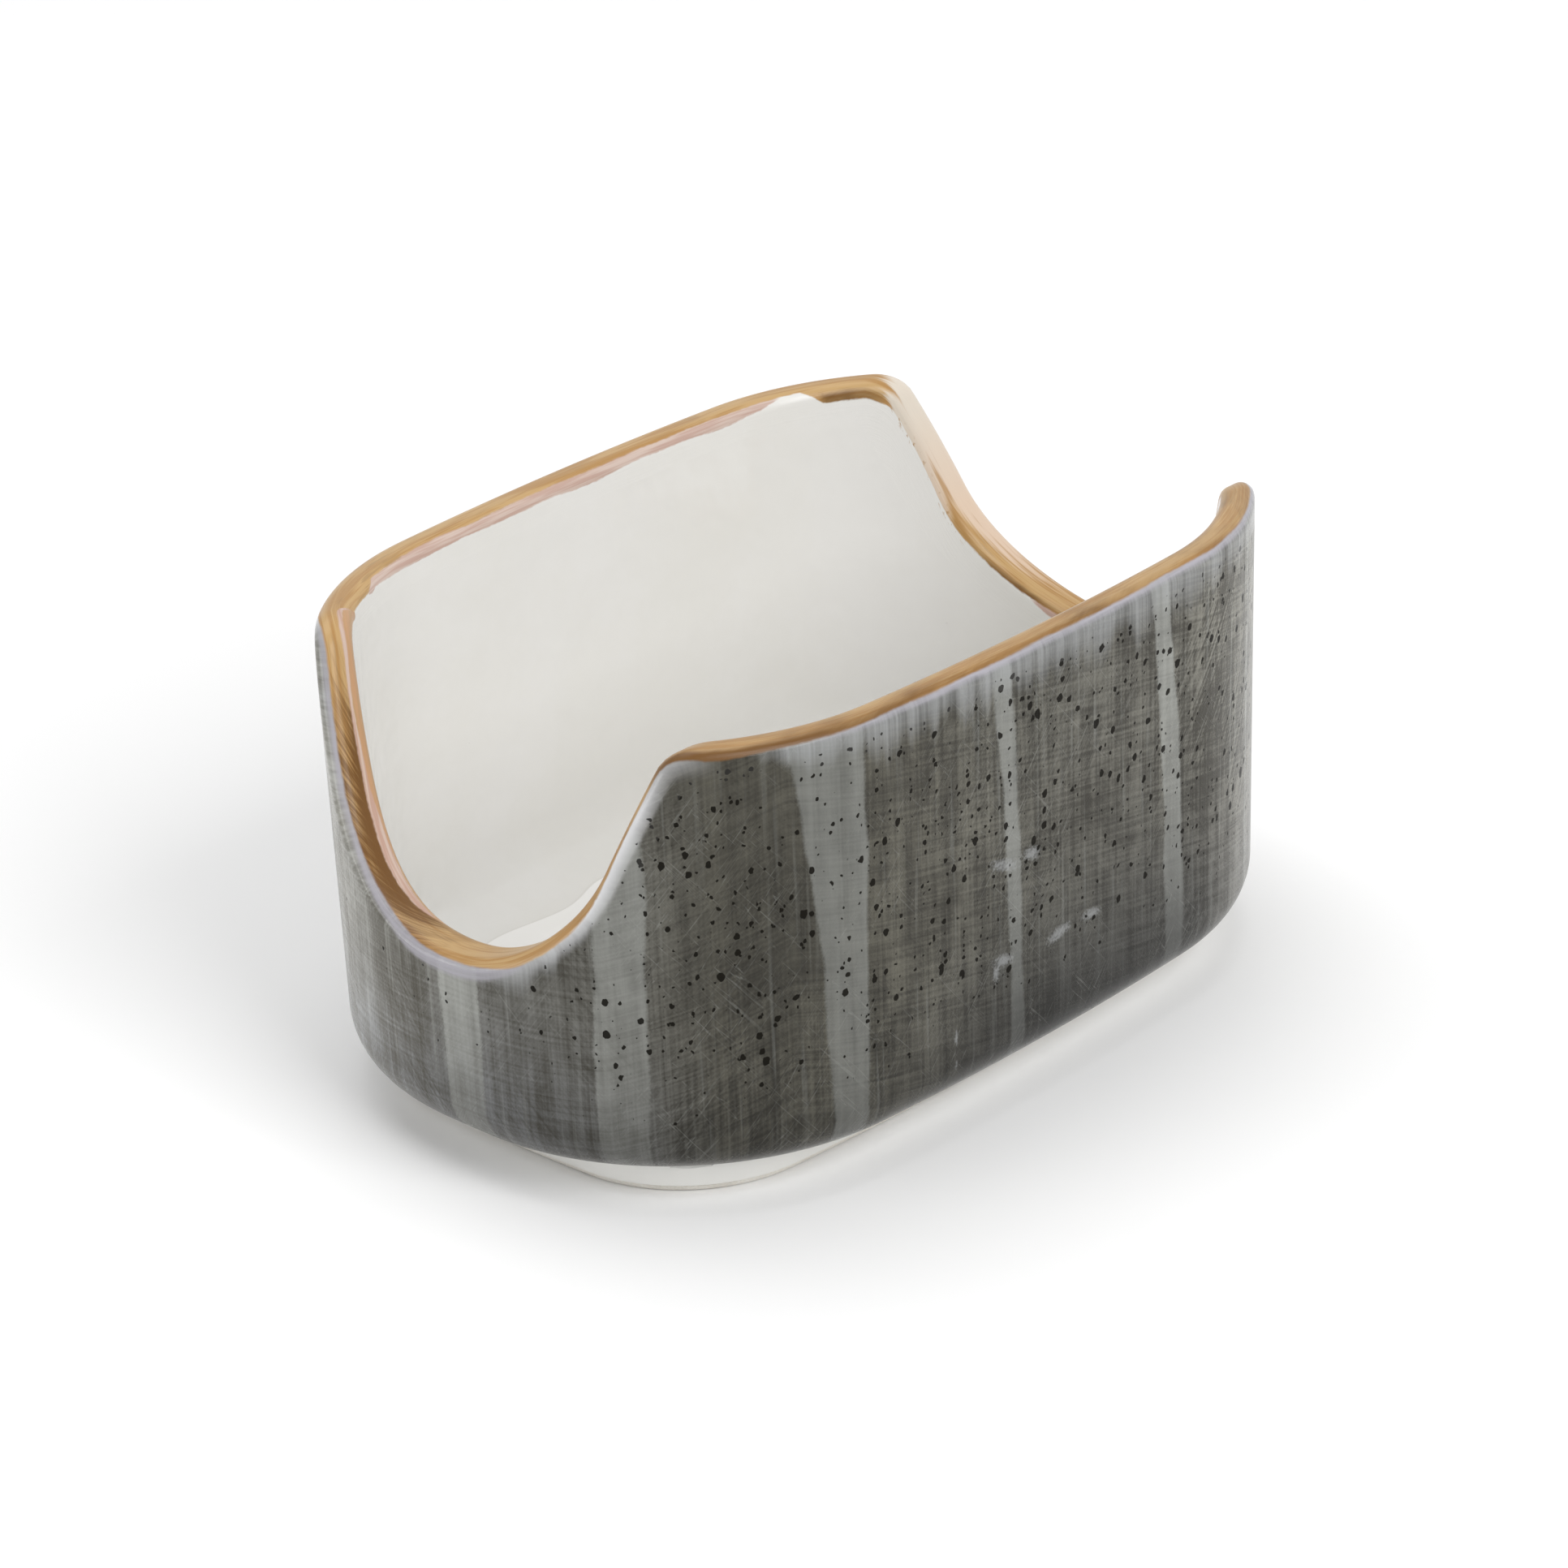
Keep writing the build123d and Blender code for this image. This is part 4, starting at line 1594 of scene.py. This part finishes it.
@dataclass
class RimBand(Coat):
    """The brown painted band over the rim."""

    name: str = "rim_band"
    node: str = "rim_brown_band"
    part: str = "band"
    slot: Slot = Slot.BROWN
    look: Look = RimPaint()

    def fields(self) -> dict[str, Grid]:
        """The fields that the coat's finish reads from its points."""
        return self.layout().grey_fields() | self.layout().rim_fields()


@dataclass
class InnerGlaze(Coat):
    """The white glaze inside the trough."""

    name: str = "inner_glaze"
    node: str = "inner_white_glaze"
    part: str = "inside"
    pole: Pole = Pole.LAST
    look: Look = PoolAndReflectionGlaze()
    pool_and_reflection_inset: float = 12.8 * MM

    def fields(self) -> dict[str, Grid]:
        """Measure how deep each point lies inside the wavy edge of the paler patch on the floor, which is
        partly thick glaze and partly a painted reflection.

        Returns:
            One field by name, in millimetres.
        """
        rows = self.rows()
        turn = np.arctan2(rows[..., 1], rows[..., 0])
        wave = 0.7 * np.sin(11.0 * turn + 3.09) + 0.2 * np.sin(5.0 * turn + 1.0)
        return {"pool_and_reflection": (-self.form.trough.gap(rows)[0] - self.pool_and_reflection_inset) / MM - wave}


@dataclass
class FootGlaze(Coat):
    """The white glaze on the foot's outside and the sole beside it, a little paler than inside as painted
    light bounced up from the floor.
    """

    name: str = "foot_glaze"
    node: str = "foot_white_glaze"
    part: str = "foot"
    # Painted light: a paler copy of the white glaze, so that the foot looks lit by light bounced off the
    # floor.
    look: Look = WhiteGlaze(clear=(0.77, 0.765, 0.735), warm=(0.75, 0.74, 0.71))


@dataclass
class RecessGlaze(Coat):
    """The white glaze in the recess under the floor."""

    name: str = "recess_glaze"
    node: str = "recess_white_glaze"
    part: str = "recess"
    pole: Pole = Pole.FIRST


@dataclass
class ClayCore:
    """The fired clay under the glaze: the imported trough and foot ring, bare where the foot was wiped."""

    nodes: tuple[str, ...] = ("porcelain_body", "foot_ring")

    def dress(self) -> None:
        """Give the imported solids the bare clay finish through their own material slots."""
        clay = BareClay().material("fired_clay")
        for name in self.nodes:
            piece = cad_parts[name]
            if not piece.material_slots:
                piece.data.materials.append(clay)
            piece.material_slots[0].link = "OBJECT"
            piece.material_slots[0].material = clay
            LOG.info("%s: %d points, packed", name, len(piece.data.vertices))


@dataclass(frozen=True)
class Lamp:
    """A soft lamp: its name, place, width, height and power."""

    name: str
    place: Colour
    width: float
    height: float
    power: float

    def hang(self) -> None:
        """Hang the lamp facing the holder."""
        data = bpy.data.lights.new(self.name, "AREA")
        data.shape = "RECTANGLE"
        data.size = self.width
        data.size_y = self.height
        data.energy = self.power
        lamp = bpy.data.objects.new(self.name, data)
        lamp.location = self.place
        lamp.rotation_mode = "QUATERNION"
        lamp.rotation_quaternion = (Vector(AIM) - Vector(self.place)).to_track_quat("-Z", "Y")
        bpy.context.scene.collection.objects.link(lamp)


@dataclass
class Studio:
    """A pale floor, soft light and the camera that took the picture."""

    azimuth: float = -45.857
    elevation: float = 25.400
    roll: float = -2.514
    distance: float = 637.93 * MM
    aim: Colour = (-1.411 * MM, 1.454 * MM, 25.251 * MM)
    lens: float = 135.03
    sensor: float = 36.0
    clip_start: float = 10 * MM
    floor_radius: float = 3.0
    floor_corners: int = 96
    floor_colour: Colour = (0.975, 0.975, 0.975)
    floor_grain: float = 0.02 * MM
    floor_specular: float = 0.1
    world_light: float = 0.5
    lamps: tuple[Lamp, ...] = (
        Lamp("lamp_front", (-0.1, -1.05, 0.8), 0.8, 0.8, 10.0),
        Lamp("lamp_top", (0.1, 0.3, 1.2), 1.0, 1.0, 6.0),
        Lamp("lamp_strip", (-0.75, 0.5, 0.16), 0.35, 0.25, 1.2),
    )

    def camera(self) -> None:
        """Stand the camera at the picture's viewing angle and make it the scene's own."""
        a, e, r = np.radians([self.azimuth, self.elevation, self.roll])
        back = np.array([np.sin(a) * np.cos(e), -np.cos(a) * np.cos(e), np.sin(e)])
        right = np.array([np.cos(a), np.sin(a), 0.0])
        up = np.cross(back, right)
        right, up = np.cos(r) * right + np.sin(r) * up, np.cos(r) * up - np.sin(r) * right
        data = bpy.data.cameras.new("camera")
        data.lens = self.lens
        data.sensor_width = self.sensor
        data.clip_start = self.clip_start
        seat = np.eye(4)
        seat[:3, :3] = np.column_stack([right, up, back])
        seat[:3, 3] = np.array(self.aim) + back * self.distance
        camera = bpy.data.objects.new("camera", data)
        camera.matrix_world = Matrix(seat.tolist())
        bpy.context.scene.collection.objects.link(camera)
        bpy.context.scene.camera = camera

    def floor(self) -> None:
        """Lay a round pale floor under the holder."""
        turn = np.linspace(0.0, FULL_TURN, self.floor_corners, endpoint=False)
        ring = np.column_stack([np.cos(turn), np.sin(turn), np.zeros_like(turn)]) * self.floor_radius
        mesh = bpy.data.meshes.new("studio_floor")
        mesh.from_pydata(ring.tolist(), [], [list(range(self.floor_corners))])
        paint = Paint("studio_floor")
        grain = paint.even(paint.place(), 0.4, 3.0)
        paint.bump(grain, self.floor_grain)
        dull = paint.rise(grain, 0.2, 0.8, 0.85, 0.95)
        mesh.materials.append(paint.finish(self.floor_colour, dull, self.floor_specular))
        piece = bpy.data.objects.new("studio_floor", mesh)
        bpy.context.scene.collection.objects.link(piece)

    def light(self) -> None:
        """Light the holder softly from the front, the top and one side, before a white world."""
        scene = bpy.context.scene
        scene.view_settings.view_transform = "Standard"
        scene.world = bpy.data.worlds.new("studio")
        scene.world.use_nodes = True
        nodes, links = scene.world.node_tree.nodes, scene.world.node_tree.links
        back = nodes["Background"]
        back.inputs["Color"].default_value = (1.0, 1.0, 1.0, 1.0)
        path = nodes.new("ShaderNodeLightPath")
        seen = path.outputs["Is Camera Ray"]
        for name in ("Is Glossy Ray", "Is Transmission Ray"):
            either = nodes.new("ShaderNodeMath")
            either.operation = "MAXIMUM"
            links.new(seen, either.inputs[0])
            links.new(path.outputs[name], either.inputs[1])
            seen = either.outputs[0]
        strength = nodes.new("ShaderNodeMapRange")
        strength.inputs["To Min"].default_value = self.world_light
        links.new(seen, strength.inputs["Value"])
        links.new(strength.outputs["Result"], back.inputs["Strength"])
        for lamp in self.lamps:
            lamp.hang()


def main() -> None:
    """Build and dress the coats in order, dress the clay, then set up the studio."""
    logging.basicConfig(level=logging.INFO, format="%(message)s")
    form = HolderForm()
    form.upper_profile()
    form.lower_profile()
    for kind in (GreyCoat, RimBand, InnerGlaze, FootGlaze, RecessGlaze):
        coat = kind(form)
        piece = coat.build()
        coat.dress(piece)
        LOG.info("%s: %d points", piece.name, len(piece.data.vertices))
    ClayCore().dress()
    studio = Studio()
    studio.floor()
    studio.light()
    studio.camera()


if __name__ == "__main__":
    main()
